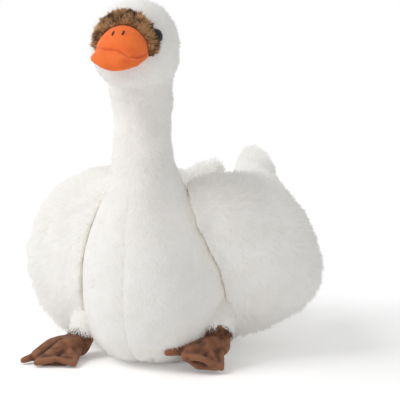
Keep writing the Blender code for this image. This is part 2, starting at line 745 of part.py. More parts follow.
def build():
    clear_scene()
    skin = make_skin()
    surface = Surface(skin)
    left_wing = make_wing(
        "left_wing",
        1.0,
        LEFT_WING_TOP_Z,
        LEFT_WING_STAND_OUT,
        LEFT_WING_LEAN,
        LEFT_WING_SPLAY,
        LEFT_TIP_DROOP,
    )
    right_wing = make_wing(
        "right_wing",
        -1.0,
        RIGHT_WING_TOP_Z,
        RIGHT_WING_STAND_OUT,
        RIGHT_WING_LEAN,
        RIGHT_WING_SPLAY,
        RIGHT_TIP_DROOP,
    )
    tail = make_tail()
    # Legs first, while the wings are still whole and so swell cleanly
    for prefix, ankle, turn, tilt, wing in (
        ("left", LEFT_ANKLE, LEFT_FOOT_TURN_DEG, LEFT_FOOT_TILT_DEG, left_wing),
        ("right", RIGHT_ANKLE, RIGHT_FOOT_TURN_DEG, RIGHT_FOOT_TILT_DEG, right_wing),
    ):
        foot = make_foot(f"{prefix}_foot", ankle, turn, tilt)
        make_leg(f"{prefix}_leg", ankle, skin, foot, wing)
        cut_clear(foot, skin)
    cut_clear(right_wing, left_wing)
    for wing in (left_wing, right_wing):
        cut_clear(tail, wing)
    for pad in (left_wing, right_wing, tail):
        cut_clear(pad, skin)
    upper, lower = make_bill(skin)
    mask = make_mask(surface, (upper, lower))
    for prefix, side in (("left", 1.0), ("right", -1.0)):
        make_eye(prefix, side, skin, surface, mask)


build()
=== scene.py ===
"""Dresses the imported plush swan: stuffed skins, combed pile, suede bill and feet, and its studio."""

from __future__ import annotations

import logging
import math
import sys
from collections.abc import Callable, Sequence
from dataclasses import dataclass, field
from enum import Enum

import bmesh
import bpy
import numpy as np
from mathutils import Matrix, Vector
from mathutils.bvhtree import BVHTree


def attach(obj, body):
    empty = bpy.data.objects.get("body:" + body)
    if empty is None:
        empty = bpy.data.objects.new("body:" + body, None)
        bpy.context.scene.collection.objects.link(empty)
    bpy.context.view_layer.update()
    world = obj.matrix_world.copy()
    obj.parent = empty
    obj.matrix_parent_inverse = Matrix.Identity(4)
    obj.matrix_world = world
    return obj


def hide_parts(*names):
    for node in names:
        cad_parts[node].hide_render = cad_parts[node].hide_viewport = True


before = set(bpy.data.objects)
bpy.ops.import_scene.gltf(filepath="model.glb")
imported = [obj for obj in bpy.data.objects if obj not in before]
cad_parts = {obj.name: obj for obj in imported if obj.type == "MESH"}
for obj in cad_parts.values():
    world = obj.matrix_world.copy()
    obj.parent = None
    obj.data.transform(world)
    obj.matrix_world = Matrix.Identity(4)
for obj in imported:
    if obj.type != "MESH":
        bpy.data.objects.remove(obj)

Array = np.ndarray
Colour = tuple[float, float, float]
Comb = Callable[[Array, Array], Array]

LOG = logging.getLogger("swan")
ROOT = "root"
MM = 0.001


class Side(Enum):
    """The swan's own two sides."""

    LEFT = 1
    RIGHT = -1

    @property
    def word(self) -> str:
        """The side's name as the CAD nodes spell it."""
        return self.name.lower()


def unit(vectors: Array) -> Array:
    """Vectors at length one."""
    return vectors / np.maximum(np.linalg.norm(vectors, axis=-1, keepdims=True), 1e-12)


def ease(values: Array, low: float, high: float) -> Array:
    """Smooth rise from 0 at low to 1 at high.

    Args:
        values: Numbers to place on the rise.
        low: Where the rise starts.
        high: Where it ends.

    Returns:
        Numbers from 0 to 1.
    """
    share = np.clip((values - low) / (high - low), 0.0, 1.0)
    return share * share * (3 - 2 * share)


def dots(a: Array, b: Array) -> Array:
    """Row by row dot product, kept as a column."""
    return np.sum(a * b, axis=-1, keepdims=True)


def along_surface(vectors: Array, normals: Array) -> Array:
    """The part of each vector that lies in the surface, at length one."""
    return unit(vectors - normals * dots(vectors, normals))


class Grain:
    """Repeatable noise on a lattice of cells, the same each run."""

    @staticmethod
    def cell_value(cells: Array, salt: int) -> Array:
        """A number from 0 to 1 for each whole-numbered cell.

        Args:
            cells: Cells, with their three indices last.
            salt: Picks one noise out of many.

        Returns:
            The numbers, one for each cell.
        """
        c = cells.astype(np.int64)
        mixed = (c[..., 0] * 73856093) ^ (c[..., 1] * 19349663) ^ (c[..., 2] * 83492791) ^ (salt * 668265263)
        mixed = ((mixed ^ (mixed >> 13)) * 1274126177) & 0x7FFFFFFF
        mixed = ((mixed ^ (mixed >> 15)) * 2246822519) & 0x7FFFFFFF
        return ((mixed ^ (mixed >> 12)) & 0xFFFFF) / float(0xFFFFF)

    @classmethod
    def smooth(cls, points: Array, size: float, salt: int = 0) -> Array:
        """Soft noise from -1 to 1 whose bumps are about size across.

        Args:
            points: Places in metres.
            size: Width of a cell in metres.
            salt: Picks one noise out of many.

        Returns:
            One number for each place.
        """
        scaled = points / size
        base = np.floor(scaled)
        share = scaled - base
        share = share * share * (3 - 2 * share)
        total = np.zeros(len(points))
        for corner in np.ndindex(2, 2, 2):
            weight = np.ones(len(points))
            for axis, step in enumerate(corner):
                weight *= share[:, axis] if step else 1 - share[:, axis]
            total += weight * cls.cell_value(base + corner, salt)
        return total * 2 - 1

    @classmethod
    def vector(cls, points: Array, size: float, salt: int = 0) -> Array:
        """Three soft noises side by side, as a vector for each place."""
        return np.stack([cls.smooth(points, size, salt * 3 + k) for k in (1, 2, 3)], axis=1)

    @classmethod
    def tuft_centre(cls, points: Array, size: float, salt: int = 0) -> Array:
        """The nearest of scattered centres, one in each cell.

        Args:
            points: Places in metres.
            size: Width of a cell in metres.
            salt: Picks one scatter out of many.

        Returns:
            The centre nearest to each place.
        """
        base = np.floor(points / size)
        best = np.full(len(points), np.inf)
        centre = points.copy()
        for corner in np.ndindex(3, 3, 3):
            cell = base + np.array(corner) - 1
            jitter = np.stack([cls.cell_value(cell, salt * 7 + k) for k in (1, 2, 3)], axis=1)
            place = (cell + jitter) * size
            distance = np.sum((place - points) ** 2, axis=1)
            nearer = distance < best
            best[nearer] = distance[nearer]
            centre[nearer] = place[nearer]
        return centre


@dataclass
class Surface:
    """A triangle mesh held as arrays, in metres.

    Attributes:
        points: Corner places.
        faces: Corner numbers of each triangle.
    """

    points: Array
    faces: Array

    @classmethod
    def of_node(cls, node: str) -> Surface:
        """The mesh of a CAD node, with the corners that its sharp edges split made one again."""
        return cls.of_mesh(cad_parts[node].data).welded()

    @classmethod
    def of_mesh(cls, mesh: bpy.types.Mesh) -> Surface:
        """Reads a Blender mesh."""
        mesh.calc_loop_triangles()
        points = np.empty(len(mesh.vertices) * 3, np.float32)
        mesh.vertices.foreach_get("co", points)
        faces = np.empty(len(mesh.loop_triangles) * 3, np.int32)
        mesh.loop_triangles.foreach_get("vertices", faces)
        return cls(points.reshape(-1, 3).astype(float), faces.reshape(-1, 3))

    def welded(self, within: float = 2e-6) -> Surface:
        """The same mesh with corners that lie together made one."""
        _, first, index = np.unique(
            np.round(self.points / within).astype(np.int64), axis=0, return_index=True, return_inverse=True
        )
        faces = index.reshape(-1)[self.faces]
        whole = (faces[:, 0] != faces[:, 1]) & (faces[:, 1] != faces[:, 2]) & (faces[:, 0] != faces[:, 2])
        return Surface(self.points[first], faces[whole])

    def edges(self) -> Array:
        """Each edge once, as two corner numbers."""
        ends = np.concatenate([self.faces[:, [0, 1]], self.faces[:, [1, 2]], self.faces[:, [2, 0]]])
        return np.unique(np.sort(ends, axis=1), axis=0)

    def face_normals(self) -> Array:
        """Normal of each triangle, as long as twice its area."""
        a, b, c = (self.points[self.faces[:, k]] for k in range(3))
        return np.cross(b - a, c - a)

    def normals(self) -> Array:
        """Smooth normal at each corner."""
        whole = np.zeros_like(self.points)
        faces = self.face_normals()
        for k in range(3):
            np.add.at(whole, self.faces[:, k], faces)
        return unit(whole)

    def relaxed(self, values: Array, rounds: int, share: float = 0.5) -> Array:
        """Values at the corners, evened out along the edges.

        Args:
            values: One row for each corner.
            rounds: How often to even them out.
            share: How far each value moves to its neighbours' mean in a round.

        Returns:
            The evened values.
        """
        ends = self.edges()
        count = np.bincount(ends.reshape(-1), minlength=len(self.points)).astype(float)
        count = np.maximum(count, 1).reshape((-1,) + (1,) * (values.ndim - 1))
        for _ in range(rounds):
            total = np.zeros_like(values)
            np.add.at(total, ends[:, 0], values[ends[:, 1]])
            np.add.at(total, ends[:, 1], values[ends[:, 0]])
            values = values + (total / count - values) * share
        return values

    def moved(self, offsets: Array) -> Surface:
        """The same mesh with each corner moved."""
        return Surface(self.points + offsets, self.faces)

    def tree(self) -> BVHTree:
        """A search tree of the triangles."""
        return BVHTree.FromPolygons(self.points.tolist(), self.faces.tolist())

    def without_pits(self, axes: Sequence[tuple[Array, Array]], radius: float, depth: float) -> Surface:
        """The mesh with the pits along some axes removed and closed over.

        Args:
            axes: A point on each axis at the pit's mouth, and the axis's outward direction.
            radius: How far from an axis its pit reaches.
            depth: How far down from the mouth it reaches.

        Returns:
            A closed mesh without them.
        """
        builder = bmesh.new()
        corners = [builder.verts.new(point) for point in self.points]
        for face in self.faces:
            builder.faces.new([corners[i] for i in face])
        doomed = np.zeros(len(self.points), bool)
        for mouth, direction in axes:
            away = self.points - mouth
            height = away @ direction
            out = np.linalg.norm(away - np.outer(height, direction), axis=1)
            doomed |= (out < radius) & (height > -depth) & (height < radius)
        bmesh.ops.delete(builder, geom=[v for v, gone in zip(corners, doomed) if gone], context="VERTS")
        bmesh.ops.holes_fill(builder, edges=builder.edges[:], sides=0)
        bmesh.ops.triangulate(builder, faces=builder.faces[:])
        mesh = bpy.data.meshes.new("closed_over")
        builder.to_mesh(mesh)
        builder.free()
        closed = Surface.of_mesh(mesh)
        bpy.data.meshes.remove(mesh)
        return closed

    def remeshed(self, voxel: float, rounds: int) -> Surface:
        """Even cloth-like facets over the same form.

        Args:
            voxel: Width of a facet in metres.
            rounds: Rounds of smoothing after it.

        Returns:
            The new mesh.
        """
        obj = self.build("remesh_source", None)
        voxels = obj.modifiers.new("voxels", "REMESH")
        voxels.mode = "VOXEL"
        voxels.voxel_size = voxel
        graph = bpy.context.evaluated_depsgraph_get()
        graph.update()
        mesh = bpy.data.meshes.new_from_object(obj.evaluated_get(graph))
        made = Surface.of_mesh(mesh)
        bpy.data.meshes.remove(mesh)
        bpy.data.objects.remove(obj)
        made.points = made.relaxed(made.points, rounds)
        return made

    def stuffed(self, pressure: float, frames: int, cap: float) -> Surface:
        """The mesh as a cloth bag under pressure, which swells and puckers it.

        Args:
            pressure: The stuffing's pressure.
            frames: Steps of the cloth simulation.
            cap: How far a corner may move, in metres.
        """
        obj = self.build("stuffed_bag", None)
        cloth = obj.modifiers.new("cloth", "CLOTH")
        cloth.settings.quality = 4
        cloth.settings.use_pressure = True
        cloth.settings.uniform_pressure_force = pressure
        cloth.settings.effector_weights.gravity = 0.0
        cloth.collision_settings.use_collision = False
        cloth.point_cache.frame_start, cloth.point_cache.frame_end = 1, frames
        scene = bpy.context.scene
        for step in range(1, frames + 1):
            scene.frame_set(step)
        graph = bpy.context.evaluated_depsgraph_get()
        mesh = bpy.data.meshes.new_from_object(obj.evaluated_get(graph))
        swollen = Surface.of_mesh(mesh).points
        bpy.data.meshes.remove(mesh)
        bpy.data.objects.remove(obj)
        scene.frame_set(1)
        moves = self.relaxed(swollen - self.points, 2)
        reach = np.linalg.norm(moves, axis=1, keepdims=True)
        LOG.info("cloth simulation: moves of %.2f mm on average", reach.mean() / MM)
        return self.moved(moves * np.minimum(1.0, cap / np.maximum(reach, 1e-9)))

    def thickness(self) -> Array:
        """Distance through the solid from each corner, straight in."""
        tree = self.tree()
        found = np.full(len(self.points), 0.2)
        for i, (point, normal) in enumerate(zip(self.points, self.normals())):
            inward = Vector(-normal)
            _, _, _, distance = tree.ray_cast(Vector(point) + inward * 2e-4, inward, 0.2)
            if distance is not None:
                found[i] = distance
        return found

    def hollows(self, rounds: int = 3) -> Array:
        """How far each corner lies in a fold, in metres: above 0 in a fold and below 0 on a ridge."""
        return dots(self.relaxed(self.points, rounds) - self.points, self.normals())[:, 0]

    def build(
        self,
        name: str,
        material: bpy.types.Material | None,
        fields: dict[str, Array] | None = None,
    ) -> bpy.types.Object:
        """Makes a Blender object of the mesh.

        Args:
            name: The object's name.
            material: Its material, if any.
            fields: Named numbers at the corners, for the material.

        Returns:
            The object, linked to the scene and shaded smooth.
        """
        mesh = bpy.data.meshes.new(name)
        mesh.vertices.add(len(self.points))
        mesh.vertices.foreach_set("co", self.points.astype(np.float32).reshape(-1))
        mesh.loops.add(self.faces.size)
        mesh.loops.foreach_set("vertex_index", self.faces.astype(np.int32).reshape(-1))
        mesh.polygons.add(len(self.faces))
        mesh.polygons.foreach_set("loop_start", np.arange(0, self.faces.size, 3, dtype=np.int32))
        mesh.update(calc_edges=True)
        mesh.shade_smooth()
        for field_name, values in (fields or {}).items():
            attribute = mesh.attributes.new(field_name, "FLOAT", "POINT")
            attribute.data.foreach_set("value", values.astype(np.float32))
        if material:
            mesh.materials.append(material)
        obj = bpy.data.objects.new(name, mesh)
        bpy.context.scene.collection.objects.link(obj)
        return obj


class Signal:
    """One output socket of a shader, with the arithmetic operators."""

    def __init__(self, shader: Shader, socket: bpy.types.NodeSocket) -> None:
        """Keeps the socket and the shader that it is in."""
        self.shader = shader
        self.socket = socket

    def _math(self, operation: str, a: Signal | float, b: Signal | float) -> Signal:
        """A Math node on two values."""
        return self.shader.node("ShaderNodeMath", {"operation": operation}, {0: a, 1: b})

    def __add__(self, other: Signal | float) -> Signal:
        """self + other."""
        return self._math("ADD", self, other)

    def __radd__(self, other: float) -> Signal:
        """other + self."""
        return self._math("ADD", other, self)

    def __sub__(self, other: Signal | float) -> Signal:
        """self - other."""
        return self._math("SUBTRACT", self, other)

    def __rsub__(self, other: float) -> Signal:
        """other - self."""
        return self._math("SUBTRACT", other, self)

    def __mul__(self, other: Signal | float) -> Signal:
        """self * other."""
        return self._math("MULTIPLY", self, other)

    def __rmul__(self, other: float) -> Signal:
        """other * self."""
        return self._math("MULTIPLY", other, self)

    def maximum(self, other: Signal | float) -> Signal:
        """The larger of the two."""
        return self._math("MAXIMUM", self, other)

    def clamped(self) -> Signal:
        """The value held between 0 and 1."""
        return self.shader.node("ShaderNodeClamp", {}, {"Value": self})


class Shader:
    """A material with one Principled surface, written as expressions."""

    def __init__(self, name: str) -> None:
        """Makes the material with its surface and output."""
        self.material = bpy.data.materials.new(name)
        self.material.use_nodes = True
        self.tree = self.material.node_tree
        self.tree.nodes.clear()
        self.surface = self.tree.nodes.new("ShaderNodeBsdfPrincipled")
        output = self.tree.nodes.new("ShaderNodeOutputMaterial")
        self.tree.links.new(self.surface.outputs[0], output.inputs["Surface"])

    def node(
        self,
        kind: str,
        settings: dict[str, object],
        inputs: dict[str | int, object],
        output: str | int = 0,
    ) -> Signal:
        """Adds a node.

        Args:
            kind: Blender's type name.
            settings: Properties to set first. "stops" holds a ramp's places and colours.
            inputs: Values or signals for its sockets, by name or number.
            output: The output that the signal stands for.

        Returns:
            The signal of that output.
        """
        made = self.tree.nodes.new(kind)
        for name, value in settings.items():
            if name == "stops":
                self._set_stops(made.color_ramp, value)
            else:
                setattr(made, name, value)
        for name, value in inputs.items():
            self.feed(made.inputs[name], value)
        return Signal(self, made.outputs[output])

    @staticmethod
    def _set_stops(ramp: bpy.types.ColorRamp, stops: Sequence[tuple[float, Colour]]) -> None:
        """Gives a ramp its places and colours."""
        while len(ramp.elements) < len(stops):
            ramp.elements.new(1.0)
        for element, (place, colour) in zip(ramp.elements, stops):
            element.position = place
            element.color = (*colour, 1.0)

    def feed(self, socket: bpy.types.NodeSocket, value: object) -> None:
        """Links a signal to a socket, or sets the socket's own value."""
        if isinstance(value, Signal):
            self.tree.links.new(value.socket, socket)
        elif isinstance(value, tuple) and len(value) == 3 and len(socket.default_value) == 4:
            socket.default_value = (*value, 1.0)
        else:
            socket.default_value = value

    def noise(self, scale: float, detail: float = 3.0, place: Signal | None = None) -> Signal:
        """Noise from 0 to 1 over the object's own coordinates."""
        values = {"Vector": place or self.place(), "Scale": scale, "Detail": detail}
        return self.node("ShaderNodeTexNoise", {}, values, "Fac")

    def place(self) -> Signal:
        """The object's own coordinates."""
        return self.node("ShaderNodeTexCoord", {}, {}, "Object")

    def field(self, name: str) -> Signal:
        """A named number of the mesh."""
        return self.node("ShaderNodeAttribute", {"attribute_name": name}, {}, "Fac")

    def ramp(self, value: Signal, stops: Sequence[tuple[float, Colour]]) -> Signal:
        """Colours along a value."""
        return self.node("ShaderNodeValToRGB", {"stops": stops}, {"Fac": value}, "Color")

    def blend(self, a: Signal | Colour, b: Signal | Colour, share: Signal | float) -> Signal:
        """Two colours mixed.

        Args:
            a: The first colour.
            b: The second colour.
            share: How much of the second.

        Returns:
            The mixed colour.
        """
        settings = {"data_type": "RGBA", "blend_type": "MIX"}
        return self.node("ShaderNodeMix", settings, {0: share, 6: a, 7: b}, 2)

    def bump(self, height: Signal, depth: float, strength: float = 1.0) -> Signal:
        """A normal from a height from 0 to 1, depth metres deep."""
        values = {"Height": height, "Distance": depth, "Strength": strength}
        return self.node("ShaderNodeBump", {}, values, "Normal")

    def dress(self, **values: object) -> bpy.types.Material:
        """Feeds the surface's sockets, written with _ for each space, and returns the material."""
        for name, value in values.items():
            self.feed(self.surface.inputs[name.replace("_", " ")], value)
        return self.material


@dataclass(frozen=True)
class PileFinish:
    """Colours of pile from its roots to its tips.

    Attributes:
        name: The material's name.
        root: Colour between the fibres, down at the cloth; on white pile, whose locks don't shade each other,
            it is painted shade.
        body: Colour of most of the fibre.
        tip: Colour of the ends.
        dark: Colour of the tufts that are darkest.
        mottle: How much the tufts differ, from 0 to 1.
        sheen: Soft light on the fibres from the side.
    """

    name: str
    root: Colour
    body: Colour
    tip: Colour
    dark: Colour
    mottle: float
    sheen: float = 0.15

    def pile(self) -> bpy.types.Material:
        """The fibres' material, which reads the fields tone and along."""
        shader = Shader(self.name)
        # Root to tip along each lock; on white pile the darker root is painted shade between the fibres.
        fibre = shader.ramp(shader.field("along"), [(0.0, self.root), (0.45, self.body), (1.0, self.tip)])
        worn = shader.ramp(shader.field("tone"), [(0.22, (1.0,) * 3), (0.70, (0.0,) * 3)])
        colour = shader.blend(fibre, self.dark, worn * self.mottle)
        return shader.dress(Base_Color=colour, Roughness=0.85, Sheen_Weight=self.sheen, Sheen_Roughness=0.6)

    def cloth(self) -> bpy.types.Material:
        """The backing cloth that shows between the fibres, in the roots' colour, which on white pile is
        painted shade.
        """
        shader = Shader(f"{self.name}_cloth")
        tufts = shader.noise(420.0, 4.0)
        # Mottled between the roots' colour and the fibres'; on white pile the roots' colour is painted shade.
        colour = shader.ramp(tufts, [(0.3, self.root), (0.7, self.body)])
        return shader.dress(Base_Color=colour, Roughness=0.95, Normal=shader.bump(tufts, 0.0006))


@dataclass(frozen=True)
class SuedeFinish:
    """Cloth with a fine nap.

    Attributes:
        name: The material's name.
        colour: Colour of the nap as it lies.
        brushed: Colour where it is brushed up.
        fold: Colour of the darkest fibre flecks, and painted shade down in the folds and seams.
        ridge: Colour of a painted highlight on the ridges and edges.
        nap: Size of the brushed patches, as a noise scale.
        roughness: The surface's roughness.
        sheen: Soft light on the nap from the side.
    """

    name: str
    colour: Colour
    brushed: Colour
    fold: Colour
    ridge: Colour
    nap: float = 160.0
    roughness: float = 0.75
    sheen: float = 0.3

    def material(self) -> bpy.types.Material:
        """The nap's material, which reads the field fold: above 0 it paints shade in folds, below 0 a
        highlight on ridges.
        """
        shader = Shader(self.name)
        place = shader.place()
        patches = shader.noise(self.nap, 5.0, place)
        fibres = shader.noise(2600.0, 2.0, place)
        nap = shader.ramp(patches, [(0.32, self.colour), (0.7, self.brushed)])
        flecked = shader.blend(nap, self.fold, (0.62 - fibres) * 0.45)
        # The field fold paints a highlight on the ridges and shade in the folds.
        fold = shader.field("fold")
        ridge_highlighted = shader.blend(flecked, self.ridge, (fold * -1.0).clamped())
        colour = shader.blend(ridge_highlighted, self.fold, fold.clamped())
        height = patches * 0.35 + fibres * 0.65
        return shader.dress(
            Base_Color=colour,
            Roughness=self.roughness,
            Sheen_Weight=self.sheen,
            Sheen_Roughness=0.45,
            Normal=shader.bump(height, 0.00025, 0.6),
        )


@dataclass(frozen=True)
class PlasticFinish:
    """Moulded plastic.

    Attributes:
        name: The material's name.
        colour: Its colour.
        deep: Its colour where it is a shade deeper.
        roughness: The surface's roughness.
        coat: Weight of the clear gloss over it.
        specular: How strongly the plastic under it shines.
    """

    name: str
    colour: Colour
    deep: Colour
    roughness: float
    coat: float
    specular: float = 0.5

    def material(self) -> bpy.types.Material:
        """The plastic's material."""
        shader = Shader(self.name)
        flow = shader.noise(140.0, 3.0)
        return shader.dress(
            Base_Color=shader.ramp(flow, [(0.3, self.deep), (0.7, self.colour)]),
            Roughness=flow * 0.08 + self.roughness,
            Coat_Weight=self.coat,
            Coat_Roughness=0.03,
            Specular_IOR_Level=self.specular,
        )


WHITE_PILE = PileFinish(
    name="white_pile",
    # Darker, yellower root: painted shade between the fibres, as these locks don't shade each other.
    root=(0.87, 0.83, 0.74),
    body=(0.925, 0.91, 0.88),
    tip=(0.935, 0.925, 0.91),
    dark=(0.88, 0.855, 0.81),
    mottle=0.5,
    sheen=0.05,
)
WING_PILE = PileFinish(
    name="wing_pile",
    # Darker, yellower root: painted shade between the fibres, as these locks don't shade each other.
    root=(0.875, 0.845, 0.775),
    body=(0.925, 0.91, 0.88),
    tip=(0.945, 0.935, 0.915),
    dark=(0.885, 0.86, 0.815),
    mottle=0.6,
    sheen=0.05,
)
BROWN_PILE = PileFinish(
    name="brown_pile",
    root=(0.075, 0.024, 0.006),
    body=(0.38, 0.156, 0.048),
    tip=(0.84, 0.53, 0.26),
    dark=(0.048, 0.017, 0.006),
    mottle=1.0,
    sheen=0.0,
)
FRINGE_PILE = PileFinish(
    name="fringe_pile",
    root=(0.08, 0.031, 0.015),
    body=(0.155, 0.066, 0.036),
    tip=(0.30, 0.145, 0.085),
    dark=(0.09, 0.036, 0.020),
    mottle=0.6,
    sheen=0.0,
)
BILL_SUEDE = SuedeFinish(
    name="bill_suede",
    colour=(0.95, 0.16, 0.020),
    brushed=(0.98, 0.205, 0.032),
    # Fold: painted shade in the crease's groove, and the colour of the darkest flecks.
    fold=(0.50, 0.06, 0.010),
    ridge=(1.0, 0.25, 0.05),
    nap=120.0,
    roughness=0.8,
    sheen=0.08,
)
# A darker copy of the bill's suede: painted shade on the lower bill, under the upper bill's lip.
SHADED_LOWER_SUEDE = SuedeFinish(
    name="lower_suede",
    colour=(0.60, 0.085, 0.015),
    brushed=(0.72, 0.12, 0.02),
    fold=(0.30, 0.03, 0.008),
    ridge=(0.8, 0.15, 0.03),
    nap=120.0,
    roughness=0.8,
    sheen=0.06,
)
FOOT_SUEDE = SuedeFinish(
    name="foot_suede",
    colour=(0.124, 0.042, 0.016),
    brushed=(0.196, 0.073, 0.032),
    # Fold and ridge: painted shade in the folds and a painted highlight on the ridges.
    fold=(0.026, 0.009, 0.004),
    ridge=(0.30, 0.125, 0.060),
    nap=210.0,
    roughness=0.85,
    sheen=0.06,
)
EYE_PLASTIC = PlasticFinish(
    name="eye_gloss",
    colour=(0.007, 0.007, 0.014),
    deep=(0.003, 0.003, 0.006),
    roughness=0.10,
    coat=0.20,
    specular=0.14,
)
WASHER_PLASTIC = PlasticFinish(
    name="washer_moulding",
    colour=(0.78, 0.78, 0.75),
    deep=(0.70, 0.70, 0.67),
    roughness=0.42,
    coat=0.0,
)
THREAD = SuedeFinish(
    name="stitch_thread",
    colour=(0.030, 0.014, 0.009),
    brushed=(0.055, 0.028, 0.018),
    fold=(0.012, 0.006, 0.004),
    ridge=(0.06, 0.03, 0.02),
    nap=400.0,
)


class Obstacle:
    """A neighbour that pile doesn't grow into."""

    def __init__(self, node: str, soft: bool, give: float, reach: float = 0.014) -> None:
        """Reads the CAD node.

        Args:
            node: The node's name.
            soft: Whether its own pile mingles with the pile that meets it.
            give: How deep the ends of the pile may press into it.
            reach: How far round its box places are tested.
        """
        self.soft, self.give = soft, give
        self.surface = Surface.of_node(node)
        self.normals = self.surface.normals()
        self.tree = self.surface.tree()
        self.low = self.surface.points.min(0) - reach
        self.high = self.surface.points.max(0) + reach

    def depth(self, points: Array) -> Array:
        """How deep each point lies in the solid, in metres, and below 0 outside it."""
        found = np.full(len(points), -1.0)
        near = np.flatnonzero(np.all((points > self.low) & (points < self.high), axis=1))
        if not len(near):
            return found
        hits = [self.tree.find_nearest(Vector(points[i])) for i in near]
        spots = np.array([tuple(hit[0]) for hit in hits])
        faces = self.surface.faces[[hit[2] for hit in hits]]
        outward = np.einsum("ij,ijk->ik", self.corner_shares(faces, spots), self.normals[faces])
        away = points[near] - spots
        inside = np.sum(away * outward, axis=1) < 0
        found[near] = np.linalg.norm(away, axis=1) * np.where(inside, 1.0, -1.0)
        return found

    def corner_shares(self, faces: Array, spots: Array) -> Array:
        """How near each spot on a triangle is to each of its corners, from 0 to 1."""
        a, b, c = (self.surface.points[faces[:, k]] for k in range(3))
        u, v, w = b - a, c - a, spots - a
        uu, uv, vv, wu, wv = (np.sum(p * q, axis=1) for p, q in ((u, u), (u, v), (v, v), (w, u), (w, v)))
        whole = np.maximum(uu * vv - uv * uv, 1e-20)
        s, t = (vv * wu - uv * wv) / whole, (uu * wv - uv * wu) / whole
        return np.clip(np.stack([1 - s - t, s, t], axis=1), 0, 1)


def neighbours(soft: Sequence[str] = (), hard: Sequence[str] = ()) -> list[Obstacle]:
    """The solids round a piece.

    Args:
        soft: Stuffed nodes, whose pile mingles with the piece's own.
        hard: Nodes that stay clear of pile.

    Returns:
        Both, as obstacles.
    """
    return [Obstacle(node, True, 0.0040) for node in soft] + [Obstacle(node, False, 0.0003) for node in hard]


